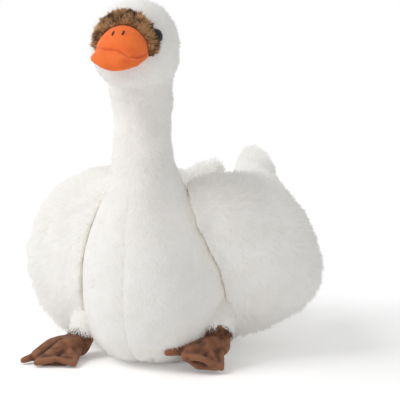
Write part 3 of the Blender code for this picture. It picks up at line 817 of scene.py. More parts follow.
@dataclass(frozen=True)
class Pile:
    """How a plush's pile is cut and combed.

    Attributes:
        length: Length of a fibre lock in metres.
        width: Width of a lock at its root.
        lean: Degrees between a lock and the cloth's normal.
        curl: Further degrees that its end leans.
        stray: Degrees that locks stray from the comb.
        tuft: Width of a tuft in metres.
        gather: How far the ends of a tuft draw together, from 0 to 1.
        uneven: How much lengths differ, from 0 to 1.
        relief: How much a lock's own tilt shows in the light, from 0 to 1.
        shades: Whether locks shade each other. White fibres pass on nearly all light, so theirs don't.
    """

    length: float
    width: float
    lean: float
    curl: float
    stray: float
    tuft: float
    gather: float
    uneven: float
    relief: float
    shades: bool = False

    # Where a lock bends, as a share of its length.
    MID = 0.55
    # The least height of its end over the floor, in metres.
    FLOOR = 0.0004
    # A lock is buried where the place AHEAD above its tip is deeper than BORDER in a hard neighbour.
    AHEAD = 0.010
    BORDER = 0.0085
    # How far single locks and whole tufts differ in lean, in degrees, and single locks in tone.
    LEAN_SPREAD = 7
    LEAN_WANDER = 8
    TONE_SPREAD = 0.16

    def grow(
        self,
        name: str,
        skin: Skin,
        count: int,
        comb: Comb,
        finish: bpy.types.Material,
        region: Callable[[Array], Array] | None = None,
        obstacles: Sequence[Obstacle] = (),
        seed: int = 1,
    ) -> bpy.types.Object:
        """Grows locks all over a skin.

        Args:
            name: The piece's name.
            skin: What they grow on.
            count: How many locks there may be.
            comb: Gives the way they lie from places and normals.
            finish: Their material.
            region: Gives each place's share of the locks, from 0 to 1.
            obstacles: Solids that they stay out of.
            seed: Picks the scatter.

        Returns:
            The piece.
        """
        rng = np.random.default_rng(seed)
        root, normal, height = skin.scatter(int(count * 1.5), region, rng)
        flow = self._flow(root, normal, comb, rng)
        mid, tip, side = self._bend(root, normal, flow, height, rng, seed)
        mid, tip = self._shortened(root, mid, tip, obstacles)
        kept = self._kept(root, mid, tip, normal, skin.depth, obstacles)
        kept = np.flatnonzero(kept)[:count]
        root, mid, tip, normal, side = (values[kept] for values in (root, mid, tip, normal, side))
        LOG.info("%s: %d locks", name, len(root))
        tufts = 0.5 + 0.5 * Grain.smooth(root, self.tuft * 1.7, seed + 9)
        tone = np.clip(tufts + rng.normal(0, self.TONE_SPREAD, len(root)), 0, 1)
        return self._ribbons(name, (root, mid, tip), normal, side, tone, finish, rng)

    def _flow(self, root: Array, normal: Array, comb: Comb, rng: np.random.Generator) -> Array:
        """The way each lock lies along the skin, with its own stray."""
        flow = along_surface(comb(root, normal), normal)
        turn = np.radians(rng.normal(0, self.stray, len(root)))[:, None]
        return flow * np.cos(turn) + np.cross(normal, flow) * np.sin(turn)

    def _bend(
        self, root: Array, normal: Array, flow: Array, height: Array, rng: np.random.Generator, seed: int
    ) -> tuple[Array, Array, Array]:
        """Middle, end and side direction of each lock."""
        number = len(root)
        wander = self.LEAN_WANDER * Grain.smooth(root, self.tuft * 2.2, seed + 3)
        lean = np.radians(self.lean + rng.normal(0, self.LEAN_SPREAD, number) + wander)
        lean = np.clip(lean, 0.12, 1.45)[:, None]
        end = np.clip(lean + math.radians(self.curl), 0.12, 1.52)
        first = normal * np.cos(lean) + flow * np.sin(lean)
        second = normal * np.cos(end) + flow * np.sin(end)
        length = self.length * height * (1 - self.uneven * rng.random(number))
        length *= 1 + 0.5 * self.uneven * Grain.smooth(root, self.tuft * 1.3, seed + 5)
        length = length[:, None]
        mid = root + first * length * self.MID
        tip = mid + second * length * (1 - self.MID)
        centre = Grain.tuft_centre(root, self.tuft, seed)
        pull = centre - root
        pull -= normal * dots(pull, normal)
        mid += pull * self.gather * 0.35
        tip += pull * self.gather
        roll = rng.normal(0, 0.35, number)[:, None]
        side = np.cross(flow, normal)
        side = unit(side * np.cos(roll) + normal * np.sin(roll))
        for places in (mid, tip):
            places[:, 2] = np.maximum(places[:, 2], self.FLOOR + rng.random(number) * 0.0006)
        return mid, tip, side

    @staticmethod
    def _shortened(root: Array, mid: Array, tip: Array, obstacles: Sequence[Obstacle]) -> tuple[Array, Array]:
        """Locks that would press too far into a soft neighbour, cut shorter."""
        for obstacle in (o for o in obstacles if o.soft):
            over = np.maximum(obstacle.depth(tip) - obstacle.give, 0.0)
            reach = np.linalg.norm(tip - root, axis=1)
            share = np.clip(1 - 1.25 * over / np.maximum(reach, 1e-6), 0.3, 1.0)[:, None]
            mid, tip = root + (mid - root) * share, root + (tip - root) * share
        return mid, tip

    @staticmethod
    def _kept(
        root: Array, mid: Array, tip: Array, normal: Array, depth: float, obstacles: Sequence[Obstacle]
    ) -> Array:
        """Which locks neither stand in a hard neighbour nor lie buried under it."""
        kept = np.ones(len(root), bool)
        for obstacle in (o for o in obstacles if not o.soft):
            kept &= obstacle.depth(root + normal * (depth + Pile.AHEAD)) < Pile.BORDER
            kept &= (obstacle.depth(tip) < obstacle.give) & (obstacle.depth(mid) < obstacle.give)
        return kept

    def _ribbons(
        self,
        name: str,
        spine: tuple[Array, Array, Array],
        normal: Array,
        side: Array,
        tone: Array,
        finish: bpy.types.Material,
        rng: np.random.Generator,
    ) -> bpy.types.Object:
        """Three triangles for each lock, lit as the skin under it is."""
        root, mid, tip = spine
        number = len(root)
        half = side * (self.width * (0.7 + 0.6 * rng.random(number)) / 2)[:, None]
        points = np.stack([root - half, root + half, mid + half * 0.8, mid - half * 0.8, tip], axis=1)
        corners = np.array([[0, 1, 2], [0, 2, 3], [3, 2, 4]])
        faces = (np.arange(number)[:, None, None] * 5 + corners[None]).reshape(-1, 3)
        surface = Surface(points.reshape(-1, 3), faces)
        tones = np.repeat(tone, 5)
        shares = np.tile([0.0, 0.0, self.MID, self.MID, 1.0], number)
        obj = surface.build(name, finish, {"tone": tones, "along": shares})
        obj.visible_shadow = obj.visible_diffuse = self.shades
        facing = unit(np.cross(side, tip - root))
        lit = np.repeat(unit(normal * (1 - self.relief) + facing * self.relief), 5, axis=0)
        obj.data.normals_split_custom_set_from_vertices(lit.tolist())
        across = np.tile([-1.0, 1.0, 1.0, -1.0, 0.0], number) * 0.004
        flat = np.stack([0.01 + 0.98 * np.clip(tones + across, 0, 1), 0.01 + 0.98 * shares], axis=1)
        layer = obj.data.uv_layers.new(name="OFBake")
        layer.data.foreach_set("uv", flat[faces.reshape(-1)].astype(np.float32).reshape(-1))
        return obj


@dataclass
class Skin:
    """A stuffed cloth skin that pile grows on.

    Attributes:
        surface: Its mesh.
        height: How high the pile stands at each corner, as a share of the full height.
        depth: How far the skin lies inside the pile's outer shape.
    """

    surface: Surface
    height: Array
    depth: float

    # Distances from a piece sewn to it at which its pile runs out and has its full height.
    TOUCH = 0.0004
    CLEAR = 0.0085

    @classmethod
    def under(
        cls, outer: Surface, depth: float, voxel: float, rounds: int = 4, near: Sequence[Obstacle] = ()
    ) -> Skin:
        """The skin under a pile's outer shape.

        Args:
            outer: The outer shape.
            depth: How high the pile stands on the skin.
            voxel: Width of the skin's facets.
            rounds: Rounds of smoothing.
            near: Pieces sewn to it, where the pile runs out and cloth meets cloth.

        Returns:
            The skin, no deeper than a third of the form's thickness anywhere.
        """
        cloth = outer.remeshed(voxel, rounds)
        local = np.minimum(depth, 0.34 * cloth.thickness())
        for obstacle in near:
            local = local * ease(-obstacle.depth(cloth.points), cls.TOUCH, cls.CLEAR)
        local = cloth.relaxed(local, 6)
        inner = cloth.moved(-cloth.normals() * local[:, None])
        inner.points = inner.relaxed(inner.points, 2)
        return cls(inner, local / depth, depth)

    def pressed(self, offsets: Array) -> None:
        """Moves each corner along its normal, in metres."""
        self.surface.points = self.surface.points + self.surface.normals() * offsets[:, None]

    def scatter(
        self, count: int, region: Callable[[Array], Array] | None, rng: np.random.Generator
    ) -> tuple[Array, Array, Array]:
        """Places spread evenly over the skin.

        Args:
            count: How many.
            region: Gives each place's share of them, from 0 to 1.
            rng: The source of chance.

        Returns:
            Places, smooth normals and pile heights.
        """
        area = np.linalg.norm(self.surface.face_normals(), axis=1)
        area = area * ease(self.height[self.surface.faces].mean(1), 0.04, 0.22)
        middle = self.surface.points[self.surface.faces].mean(1)
        if region is not None:
            area = area * region(middle)
        face = self.surface.faces[rng.choice(len(area), count, p=area / area.sum())]
        a, b = rng.random(count), rng.random(count)
        over = a + b > 1
        a[over], b[over] = 1 - a[over], 1 - b[over]
        shares = np.stack([1 - a - b, a, b], axis=1)
        place = np.einsum("ij,ijk->ik", shares, self.surface.points[face])
        normal = unit(np.einsum("ij,ijk->ik", shares, self.surface.normals()[face]))
        return place, normal, np.sum(self.height[face] * shares, axis=1)


def settle(
    piece: bpy.types.Object, nodes: Sequence[str] = ()
) -> bpy.types.Object:
    """Ties a piece to the frame.

    Args:
        piece: The piece.
        nodes: CAD nodes that it stands for.

    Returns:
        The piece.
    """
    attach(piece, ROOT)
    if nodes:
        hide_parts(*nodes)
    LOG.info("%s is in place", piece.name)
    return piece


@dataclass
class Eye:
    """A glossy safety eye: a dome on a ribbed stem.

    Attributes:
        side: The side of the head that it is on.
        radius: Half the dome's width.
        dome: Height of the dome.
        sink: How far the pile round it lets it sit in.
        stem: Half the stem's width.
        length: Length of the stem.
        ribs: Ribs along the stem.
        around: Points round it.
    """

    side: Side
    radius: float = 0.00575
    dome: float = 0.0046
    sink: float = 0.0009
    stem: float = 0.0020
    length: float = 0.0125
    ribs: int = 4
    around: int = 56
    mouth: Array = field(init=False)
    outward: Array = field(init=False)

    # How far a rib stands out from the stem.
    RIB_RISE = 0.00038

    def __post_init__(self) -> None:
        """Finds the eye's own axis in its CAD node."""
        points = Surface.of_node(self.node).points
        centre = points.mean(0)
        _, _, axes = np.linalg.svd(points - centre, full_matrices=False)
        spread = [np.ptp((points - centre) @ axis) for axis in axes]
        axis = axes[int(np.argmax(spread))]
        reach = (points - centre) @ axis
        out = np.linalg.norm(points - centre - np.outer(reach, axis), axis=1)
        if reach[np.argmax(out)] < 0:
            axis, reach = -axis, -reach
        wide = reach[out > self.radius * 0.9]
        on_axis = centre + axis * (wide.min() - self.sink)
        self.mouth, self.outward = on_axis, axis

    @property
    def node(self) -> str:
        """The eye's CAD node."""
        return f"{self.side.word}_eye"

    def profile(self) -> list[tuple[float, float]]:
        """Radius and height along the eye, from the stem's end to the dome's top."""
        rows = [(self.stem * 0.4, -self.length), (self.stem * 0.85, -self.length + 0.0005)]
        pitch = self.length * 0.55 / self.ribs
        for rib in range(self.ribs):
            low = -self.length + 0.0012 + rib * pitch
            rows += [(self.stem, low), (self.stem + self.RIB_RISE, low + pitch * 0.45)]
            rows += [(self.stem, low + pitch * 0.6)]
        rows += [(self.stem, 0.0), (self.radius * 0.93, 0.0), (self.radius * 0.99, 0.00025)]
        for step in range(15):
            angle = math.radians(6 + 83 * step / 14)
            rows.append((self.radius * math.cos(angle), 0.0008 + (self.dome - 0.0008) * math.sin(angle)))
        return rows

    def build(self) -> None:
        """Turns the eye and dresses it and its washer."""
        turn = Vector(self.outward).to_track_quat("Z", "Y").to_matrix()
        basis = np.array(turn).T
        rings = []
        angles = np.linspace(0, 2 * math.pi, self.around, endpoint=False)
        for radius, height in self.profile():
            sides = [radius * np.cos(angles), radius * np.sin(angles), np.full(self.around, height)]
            rings.append(np.stack(sides, axis=1) @ basis + self.mouth)
        obj = tube_mesh(rings).build(self.node + "_dome", EYE_PLASTIC.material())
        settle(obj, [self.node])
        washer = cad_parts[f"{self.side.word}_eye_washer"]
        washer.data.materials.clear()
        washer.data.materials.append(WASHER_PLASTIC.material())


def tube_mesh(rings: Sequence[Array]) -> Surface:
    """A skin over rings of points, with a fan over each end.

    Args:
        rings: Rings, each with as many points.

    Returns:
        The mesh.
    """
    number = len(rings[0])
    points = [np.asarray(ring) for ring in rings]
    faces = []
    for row in range(len(rings) - 1):
        for i in range(number):
            j = (i + 1) % number
            a, b = row * number + i, row * number + j
            faces += [(a, b, b + number), (a, b + number, a + number)]
    low, high = len(rings) * number, len(rings) * number + 1
    points += [rings[0].mean(0)[None], rings[-1].mean(0)[None]]
    last = (len(rings) - 1) * number
    for i in range(number):
        j = (i + 1) % number
        faces += [(low, j, i), (high, last + i, last + j)]
    return Surface(np.concatenate(points), np.array(faces))


@dataclass
class Torso:
    """Body, neck and head in one skin, with short white pile.

    Attributes:
        eyes: The two eyes, whose sockets the cloth covers.
        depth: How high the pile stands.
        voxel: Width of the skin's facets.
        seam: Depth of the seam down the breast and neck.
        chin: Level of the crease under the head at the front.
        chin_rise: How much higher that crease is at the nape.
        bill: The middle of the bill's root, from which the head is combed.
        pile: How the pile is cut.
        chin_depth: Depth of the crease under the head.
        lumps: Height of the stuffing's soft lumps.
        socket: Radius and depth of an eye's socket, which the cloth covers.
    """

    eyes: tuple[Eye, Eye]
    depth: float = 0.0040
    voxel: float = 0.0035
    seam: float = 0.0013
    chin: float = 0.2225
    chin_rise: float = 0.0125
    bill: tuple[float, float, float] = (0.006, -0.100, 0.246)
    pile: Pile = Pile(0.0080, 0.00056, 50, 18, 20, 0.0036, 0.28, 0.40, 0.30)
    chin_depth: float = 0.0018
    lumps: float = 0.0006
    socket: tuple[float, float] = (0.0070, 0.021)

    # Where the neck's pile starts, and where the torso's underside ends, in metres over the floor.
    NECK_LEVEL = 0.128
    UNDERSIDE = 0.006

    def build(self) -> None:
        """Builds the skin and its pile."""
        outer = Surface.of_node("body").without_pits([(e.mouth, e.outward) for e in self.eyes], *self.socket)
        wings, tail = neighbours(soft=("left_wing", "right_wing")), neighbours(soft=("tail",))
        skin = Skin.under(outer, self.depth, self.voxel, 4, wings + tail)
        places = skin.surface.points
        skin.pressed(-self.seam * self.seam_share(places) - self.chin_depth * self.chin_share(places))
        skin.pressed(self.lumps * Grain.smooth(places, 0.022, 4))
        at_seam, at_chin = 1 - 0.30 * self.seam_share(places), 1 - 0.25 * self.chin_share(places)
        skin.height = skin.height * at_seam * at_chin
        cloth = skin.surface.build("body_skin", WHITE_PILE.cloth())
        settle(cloth, ["body"])
        legs = neighbours(hard=("left_foot", "right_foot"))
        face = neighbours(hard=("left_eye", "right_eye", "upper_bill", "lower_bill", "face_mask"))
        finish = WHITE_PILE.pile()
        for name, count, region, near, seed in (
            ("head_and_neck_pile", 58000, self.upper_region, face + wings, 11),
            ("breast_pile", 53000, self.breast_region, wings + legs, 12),
            ("back_and_belly_pile", 40000, self.rear_region, wings + legs + tail, 13),
        ):
            settle(self.pile.grow(name, skin, count, self.comb, finish, region, near, seed))

    def seam_share(self, places: Array) -> Array:
        """Nearness to the seam down the middle of the breast, neck and back, from 0 to 1."""
        fading = (1 - 0.75 * ease(places[:, 2], 0.105, 0.150)) * (1 - ease(places[:, 2], 0.214, 0.226))
        return np.exp(-((places[:, 0] / 0.0022) ** 2)) * fading

    def chin_share(self, places: Array) -> Array:
        """Nearness to the crease between head and neck, from 0 to 1."""
        toward_nape = ease(places[:, 1], -0.085, -0.025)
        level = self.chin + self.chin_rise * toward_nape
        return np.exp(-(((places[:, 2] - level) / 0.0034) ** 2)) * (1 - 0.85 * toward_nape)

    def upper_region(self, places: Array) -> Array:
        """The head and the neck."""
        return (places[:, 2] > self.NECK_LEVEL).astype(float)

    def breast_region(self, places: Array) -> Array:
        """The front of the torso, which shows most."""
        front = (places[:, 2] <= self.NECK_LEVEL) & (places[:, 1] < 0.0)
        return front.astype(float) * np.where(places[:, 2] < self.UNDERSIDE, 0.4, 1.0)

    def rear_region(self, places: Array) -> Array:
        """The rest of the torso."""
        rear = (places[:, 2] <= self.NECK_LEVEL) & (places[:, 1] >= 0.0)
        return rear.astype(float) * np.where(places[:, 2] < self.UNDERSIDE, 0.5, 1.0)

    def comb(self, places: Array, normals: Array) -> Array:
        """Back from the bill over the head, down the neck and breast, and back along the sides."""
        down = np.array([0.0, 0.22, -1.0]) + np.zeros_like(places)
        down[:, 1] += 0.9 * ease(places[:, 1], -0.03, 0.06)
        back = unit(places - np.array(self.bill))
        share = ease(places[:, 2], 0.212, 0.236)[:, None]
        flow = unit(down) * (1 - share) + back * share
        flow += 0.30 * Grain.vector(places, 0.016, 5)
        flow[:, 0] += 0.9 * np.sign(places[:, 0]) * self.seam_share(places)
        return flow


@dataclass(frozen=True)
class Dent:
    """A hand's push on a stuffed piece.

    Attributes:
        centre: Its middle in metres.
        radius: How far it spreads.
        push: How far its middle moves, and which way.
    """

    centre: tuple[float, float, float]
    radius: float
    push: tuple[float, float, float]

    def moved(self, places: Array) -> Array:
        """The places after the push."""
        near = np.exp(-np.sum((places - np.array(self.centre)) ** 2, axis=1) / self.radius**2)
        return places + near[:, None] * np.array(self.push)


@dataclass
class Wing:
    """A padded wing with longer, tufty pile.

    Attributes:
        side: The side that it is on.
        count: Locks of pile on it.
        dents: Pushes that settle its stuffing.
        depth: How high the pile stands.
        voxel: Width of the skin's facets.
        pressure: Pressure of the stuffing in the cloth simulation.
        swell: How far that may move the skin.
        tail_end: Where the wing ends, along Y.
        pile: How the pile is cut.
        lumps: Height of the stuffing's soft lumps.
    """

    side: Side
    count: int
    dents: tuple[Dent, ...] = ()
    depth: float = 0.0055
    voxel: float = 0.0033
    pressure: float = 4.0
    swell: float = 0.0010
    tail_end: float = 0.157
    pile: Pile = Pile(0.0122, 0.00066, 42, 20, 22, 0.0042, 0.32, 0.45, 0.42)
    lumps: float = 0.0013

    @property
    def node(self) -> str:
        """The wing's CAD node."""
        return f"{self.side.word}_wing"

    def build(self) -> None:
        """Builds the padded skin and its pile."""
        other = Side(-self.side.value).word
        near = neighbours(("body", f"{other}_wing", "tail"))
        skin = Skin.under(Surface.of_node(self.node), self.depth, self.voxel, 4, near)
        skin.surface = skin.surface.stuffed(self.pressure, 12, self.swell)
        places = skin.surface.points
        skin.pressed(self.lumps * Grain.smooth(places, 0.026, 20 + self.side.value) * skin.height)
        for dent in self.dents:
            skin.surface.points = dent.moved(skin.surface.points)
        cloth = skin.surface.build(f"{self.node}_skin", WING_PILE.cloth())
        settle(cloth, [self.node])
        near += neighbours(hard=(f"{self.side.word}_foot",))
        name, seed, finish = f"{self.node}_pile", 30 + self.side.value, WING_PILE.pile()
        pile = self.pile.grow(name, skin, self.count, self.comb, finish, None, near, seed)
        settle(pile)

    def comb(self, places: Array, normals: Array) -> Array:
        """Back and down along the wing, in loose whirls."""
        flow = np.array([0.0, 0.75, -0.72]) + np.zeros_like(places)
        flow[:, 2] += 0.55 * ease(places[:, 1], 0.08, self.tail_end)
        flow[:, 0] += 0.35 * self.side.value * ease(places[:, 2], 0.11, 0.02)
        return unit(flow) + 0.5 * Grain.vector(places, 0.021, 40 + self.side.value)


@dataclass
class Tail:
    """The short pad under the wing tips.

    Attributes:
        count: Locks of pile on it.
        depth: How high the pile stands.
        voxel: Width of the skin's facets.
        pile: How the pile is cut.
    """

    count: int = 11000
    depth: float = 0.0040
    voxel: float = 0.0026
    pile: Pile = Pile(0.0090, 0.00060, 48, 20, 20, 0.0040, 0.4, 0.40, 0.28)

    def build(self) -> None:
        """Builds the padded skin and its pile."""
        near = neighbours(soft=("body", "left_wing", "right_wing"))
        skin = Skin.under(Surface.of_node("tail"), self.depth, self.voxel, 4, near)
        cloth = skin.surface.build("tail_skin", WHITE_PILE.cloth())
        settle(cloth, ["tail"])
        pile = self.pile.grow("tail_pile", skin, self.count, self.comb, WHITE_PILE.pile(), None, near, 51)
        settle(pile)

    @staticmethod
    def comb(places: Array, normals: Array) -> Array:
        """Back along the tail, fanning out a little."""
        flow = np.array([0.0, 1.0, 0.1]) + np.zeros_like(places)
        flow[:, 0] += places[:, 0] * 14
        return flow + 0.3 * Grain.vector(places, 0.012, 52)


@dataclass
class FaceMask:
    """The brown mottled pile round the bill.

    Attributes:
        count: Locks of pile on it.
        tuck: How far its inner edge is tucked under the bill.
        tuck_reach: How wide a strip of it the tuck takes in.
        depth: How high the pile stands.
        voxel: Width of the skin's facets.
        centre: The middle of the bill's root, from which it is combed.
        end_push: The push that draws its end down under the left eye.
        pile: How the pile is cut.
    """

    count: int = 12000
    tuck: float = 0.0042
    tuck_reach: float = 0.0050
    depth: float = 0.0026
    voxel: float = 0.0011
    centre: tuple[float, float, float] = (0.006, -0.102, 0.250)
    end_push: Dent = Dent((0.027, -0.091, 0.247), 0.009, (0.0036, 0.0014, -0.0040))
    pile: Pile = Pile(0.0086, 0.00042, 38, 26, 13, 0.0024, 0.50, 0.45, 0.35, True)

    def build(self) -> None:
        """Builds the pad and its pile."""
        skin = Skin.under(Surface.of_node("face_mask"), self.depth, self.voxel, 3)
        skin.surface.points = self.end_push.moved(self.tucked(skin.surface.points))
        cloth = skin.surface.build("face_mask_skin", BROWN_PILE.cloth())
        settle(cloth, ["face_mask"])
        near = neighbours(hard=("left_eye",))
        finish = BROWN_PILE.pile()
        pile = self.pile.grow("face_mask_pile", skin, self.count, self.comb, finish, None, near, 61)
        settle(pile)

    def tucked(self, places: Array) -> Array:
        """The pad drawn in under the bill's edge."""
        bill = Obstacle("upper_bill", False, 0.0)
        near = ease(-np.abs(bill.depth(places)), -self.tuck_reach, 0.0)[:, None]
        inward = unit(np.array(self.centre) - places)
        return places + inward * near * self.tuck

    def comb(self, places: Array, normals: Array) -> Array:
        """Out from the bill on all sides."""
        return unit(places - np.array(self.centre)) + 0.35 * Grain.vector(places, 0.007, 62)


@dataclass
class Bill:
    """The suede bill: a domed upper piece with a flared lip, a lower piece, and stitched nostrils.

    Attributes:
        head: The middle of the head.
        turn: Degrees that the face is turned to the swan's left.
        forward: How far the bill's root is in front of the head's middle.
        below: How far below it.
        drop: Degrees that the bill points down.
        length: Its length in front of its root.
        half_width: Half its width at the lip.
        corner_pull: How far the filling draws the lip's left corner in, as a share.
        settle_share: How far it settles the dome, as a share of its height over the crease.
        lip_lift: How far the lip curls up at the swan's right corner.
        corner_round: Rounds of smoothing at that corner.
        voxel: Width of the facets.
        crease: Points of the seam between dome and lip, in millimetres on the bill's own axes.
        nostrils: Ends of each nostril's stitch, in the same way.
    """

    head: tuple[float, float, float] = (0.0, -0.065, 0.2505)
    turn: float = 10.0
    forward: float = 0.0365
    below: float = 0.0065
    drop: float = 13.0
    length: float = 0.029
    half_width: float = 0.0195
    corner_pull: float = 0.17
    settle_share: float = 0.12
    lip_lift: float = 0.0042
    corner_round: int = 26
    voxel: float = 0.0008
    crease: tuple[tuple[float, float, float], ...] = (
        (-19.6, 1.0, 3.4),
        (-17.6, 12.0, 4.4),
        (-15.5, 19.5, 5.7),
        (-12.2, 22.6, 6.4),
        (-6.0, 19.4, 9.4),
        (-2.0, 17.6, 11.2),
        (3.0, 16.8, 11.6),
        (8.5, 16.6, 10.4),
        (13.5, 13.5, 8.2),
        (17.4, 8.0, 5.4),
        (19.4, 1.0, 3.4),
    )
    nostrils: tuple[tuple[tuple[float, float, float], tuple[float, float, float]], ...] = (
        ((4.6, 8.5, 19.8), (4.0, 4.6, 22.9)),
        ((-3.3, 8.3, 20.3), (-4.1, 4.0, 23.3)),
    )

    @property
    def axes(self) -> Matrix:
        """The bill's own axes: X to the swan's right, Y along the bill, Z up."""
        face = Matrix.Translation(self.head) @ Matrix.Rotation(math.radians(self.turn), 4, "Z")
        forward = Matrix.Rotation(math.pi, 4, "Z") @ Matrix.Translation((0, self.forward, -self.below))
        return face @ forward @ Matrix.Rotation(math.radians(-self.drop), 4, "X")

    def placed(self, points: Sequence[Sequence[float]]) -> Array:
        """Points on the bill's axes, in millimetres, as places in metres."""
        return np.array([self.axes @ Vector([n * MM for n in point]) for point in points])

    def build(self) -> None:
        """Builds both pieces and the stitches."""
        upper = Surface.of_node("upper_bill").remeshed(self.voxel, 6)
        groove = self.near_line(upper.points, self.placed(self.crease), 0.0011)
        wide = self.near_line(upper.points, self.placed(self.crease), 0.0030)
        upper = upper.moved(upper.normals() * (-0.0007 * groove - 0.0005 * wide)[:, None])
        puckers = Grain.smooth(upper.points, 0.0060, 71) * 0.00022
        upper = self.rounded(upper.moved(upper.normals() * puckers[:, None]))
        tree = upper.tree()
        # The field fold paints shade along the crease's groove.
        obj = upper.build("upper_bill_cover", BILL_SUEDE.material(), {"fold": groove * 0.55})
        settle(obj, ["upper_bill"])
        lower = self.rounded(Surface.of_node("lower_bill").remeshed(self.voxel, 4))
        # The field fold paints shade in the lower piece's hollows.
        folds = np.clip(lower.hollows() / 0.0002, 0, 1) * 0.5
        obj = lower.build("lower_bill_cover", SHADED_LOWER_SUEDE.material(), {"fold": folds})
        settle(obj, ["lower_bill"])
        settle(self.stitches(tree))

    def rounded(self, surface: Surface) -> Surface:
        """The stuffed form of a bill piece: its lip's corners pulled in and its dome settled.

        Args:
            surface: The piece as it was cut.

        Returns:
            The piece as the filling leaves it.
        """
        inverse = np.array(self.axes.inverted())
        x, y, z = (surface.points @ inverse[:3, :3].T + inverse[:3, 3]).T
        ahead = np.maximum(y, 0) / self.length
        corner = np.clip(2 * np.minimum(np.abs(x) / self.half_width, ahead), 0, 2)
        pull = self.corner_pull * ease(corner, 0.2, 2.0) * (1 - ease(z, 0.008, 0.015))
        pull = pull * ease(-x, -0.004, 0.004)
        lift = self.lip_lift * ease(x, 0.001, 0.019) * (1 - ease(z, 0.006, 0.022)) * ease(y, -0.004, 0.012)
        fall = self.settle_share * np.maximum(z - 0.010, 0)
        shift = np.stack([-x * pull, -np.maximum(y, 0) * pull, lift - fall], axis=1)
        formed = surface.moved(shift @ np.array(self.axes.to_3x3()).T)
        round_share = ease(x, 0.008, 0.014) * (1 - ease(z, 0.010, 0.014))
        softened = formed.relaxed(formed.points, self.corner_round)
        return formed.moved((softened - formed.points) * round_share[:, None])

    @staticmethod
    def near_line(places: Array, line: Array, width: float) -> Array:
        """Nearness of places to a line through points, from 0 to 1.

        Args:
            places: The places.
            line: The line's points.
            width: Distance at which nearness has fallen to about a third.

        Returns:
            Nearness of each place.
        """
        best = np.full(len(places), np.inf)
        for start, end in zip(line, line[1:]):
            run = end - start
            share = np.clip((places - start) @ run / (run @ run), 0, 1)
            best = np.minimum(best, np.linalg.norm(places - start - share[:, None] * run, axis=1))
        return np.exp(-((best / width) ** 2))

    def stitches(self, tree: BVHTree) -> bpy.types.Object:
        """Three turns of dark thread for each nostril, dipping into the cloth at both ends."""
        radius, parts, offset = 0.00030, [], 0
        along = np.array(self.axes.to_3x3() @ Vector((1, 0, 0)))
        for start, end in (self.placed(pair) for pair in self.nostrils):
            for lane in (-1, 0, 1):
                shift = along * lane * radius * 1.7
                centres = []
                for share in np.linspace(0, 1, 13):
                    place = Vector(start + (end - start) * share + shift)
                    spot, normal, _, _ = tree.find_nearest(place)
                    rise = radius * (1.5 - 3.2 * abs(share * 2 - 1) ** 4) - (0.0001 if lane else 0)
                    centres.append(np.array(spot + normal * rise))
                rings = self.thread_rings(np.array(centres), radius)
                part = tube_mesh(rings)
                parts.append(Surface(part.points, part.faces + offset))
                offset += len(part.points)
        points = np.concatenate([part.points for part in parts])
        faces = np.concatenate([part.faces for part in parts])
        flat = {"fold": np.zeros(len(points))}
        return Surface(points, faces).build("nostril_stitches", THREAD.material(), flat)

    @staticmethod
    def thread_rings(centres: Array, radius: float) -> list[Array]:
        """Round sections of a thread through some centres."""
        rings = []
        angles = np.linspace(0, 2 * math.pi, 10, endpoint=False)
        for i, centre in enumerate(centres):
            run = Vector(centres[min(i + 1, len(centres) - 1)] - centres[max(i - 1, 0)])
            basis = np.array(run.to_track_quat("Z", "Y").to_matrix())
            ring = np.stack([np.cos(angles), np.sin(angles), np.zeros(10)], axis=1) * radius
            rings.append(ring @ basis.T + centre)
        return rings


@dataclass(frozen=True)
class Roll:
    """A stuffed roll of cloth with round ends.

    Attributes:
        start: Middle of one end, in millimetres.
        end: Middle of the other end.
        start_radius: Its half width at the start.
        end_radius: Its half width at the end.
    """

    start: tuple[float, float, float]
    end: tuple[float, float, float]
    start_radius: float
    end_radius: float

    def surface(self, around: int = 18) -> Surface:
        """The roll's closed mesh, in metres."""
        start, end = np.array(self.start) * MM, np.array(self.end) * MM
        run = Vector(end - start)
        basis = np.array(run.to_track_quat("Z", "Y").to_matrix())
        first, last, bends = self.start_radius, self.end_radius, (0.3, 0.7, 1.1)
        rows = [(0.0, -first * math.cos(a), first * math.sin(a)) for a in bends]
        rows += [(s, 0.0, first * (1 - s) + last * s) for s in np.linspace(0, 1, 8)]
        rows += [(1.0, last * math.cos(a), last * math.sin(a)) for a in reversed(bends)]
        angles = np.linspace(0, 2 * math.pi, around, endpoint=False)
        circle = np.stack([np.cos(angles), np.sin(angles)], axis=1)
        rings = []
        for share, ahead, radius in rows:
            ring = np.concatenate([circle * radius * MM, np.full((around, 1), ahead * MM)], axis=1)
            rings.append(ring @ basis.T + start + (end - start) * share)
        return tube_mesh(rings)


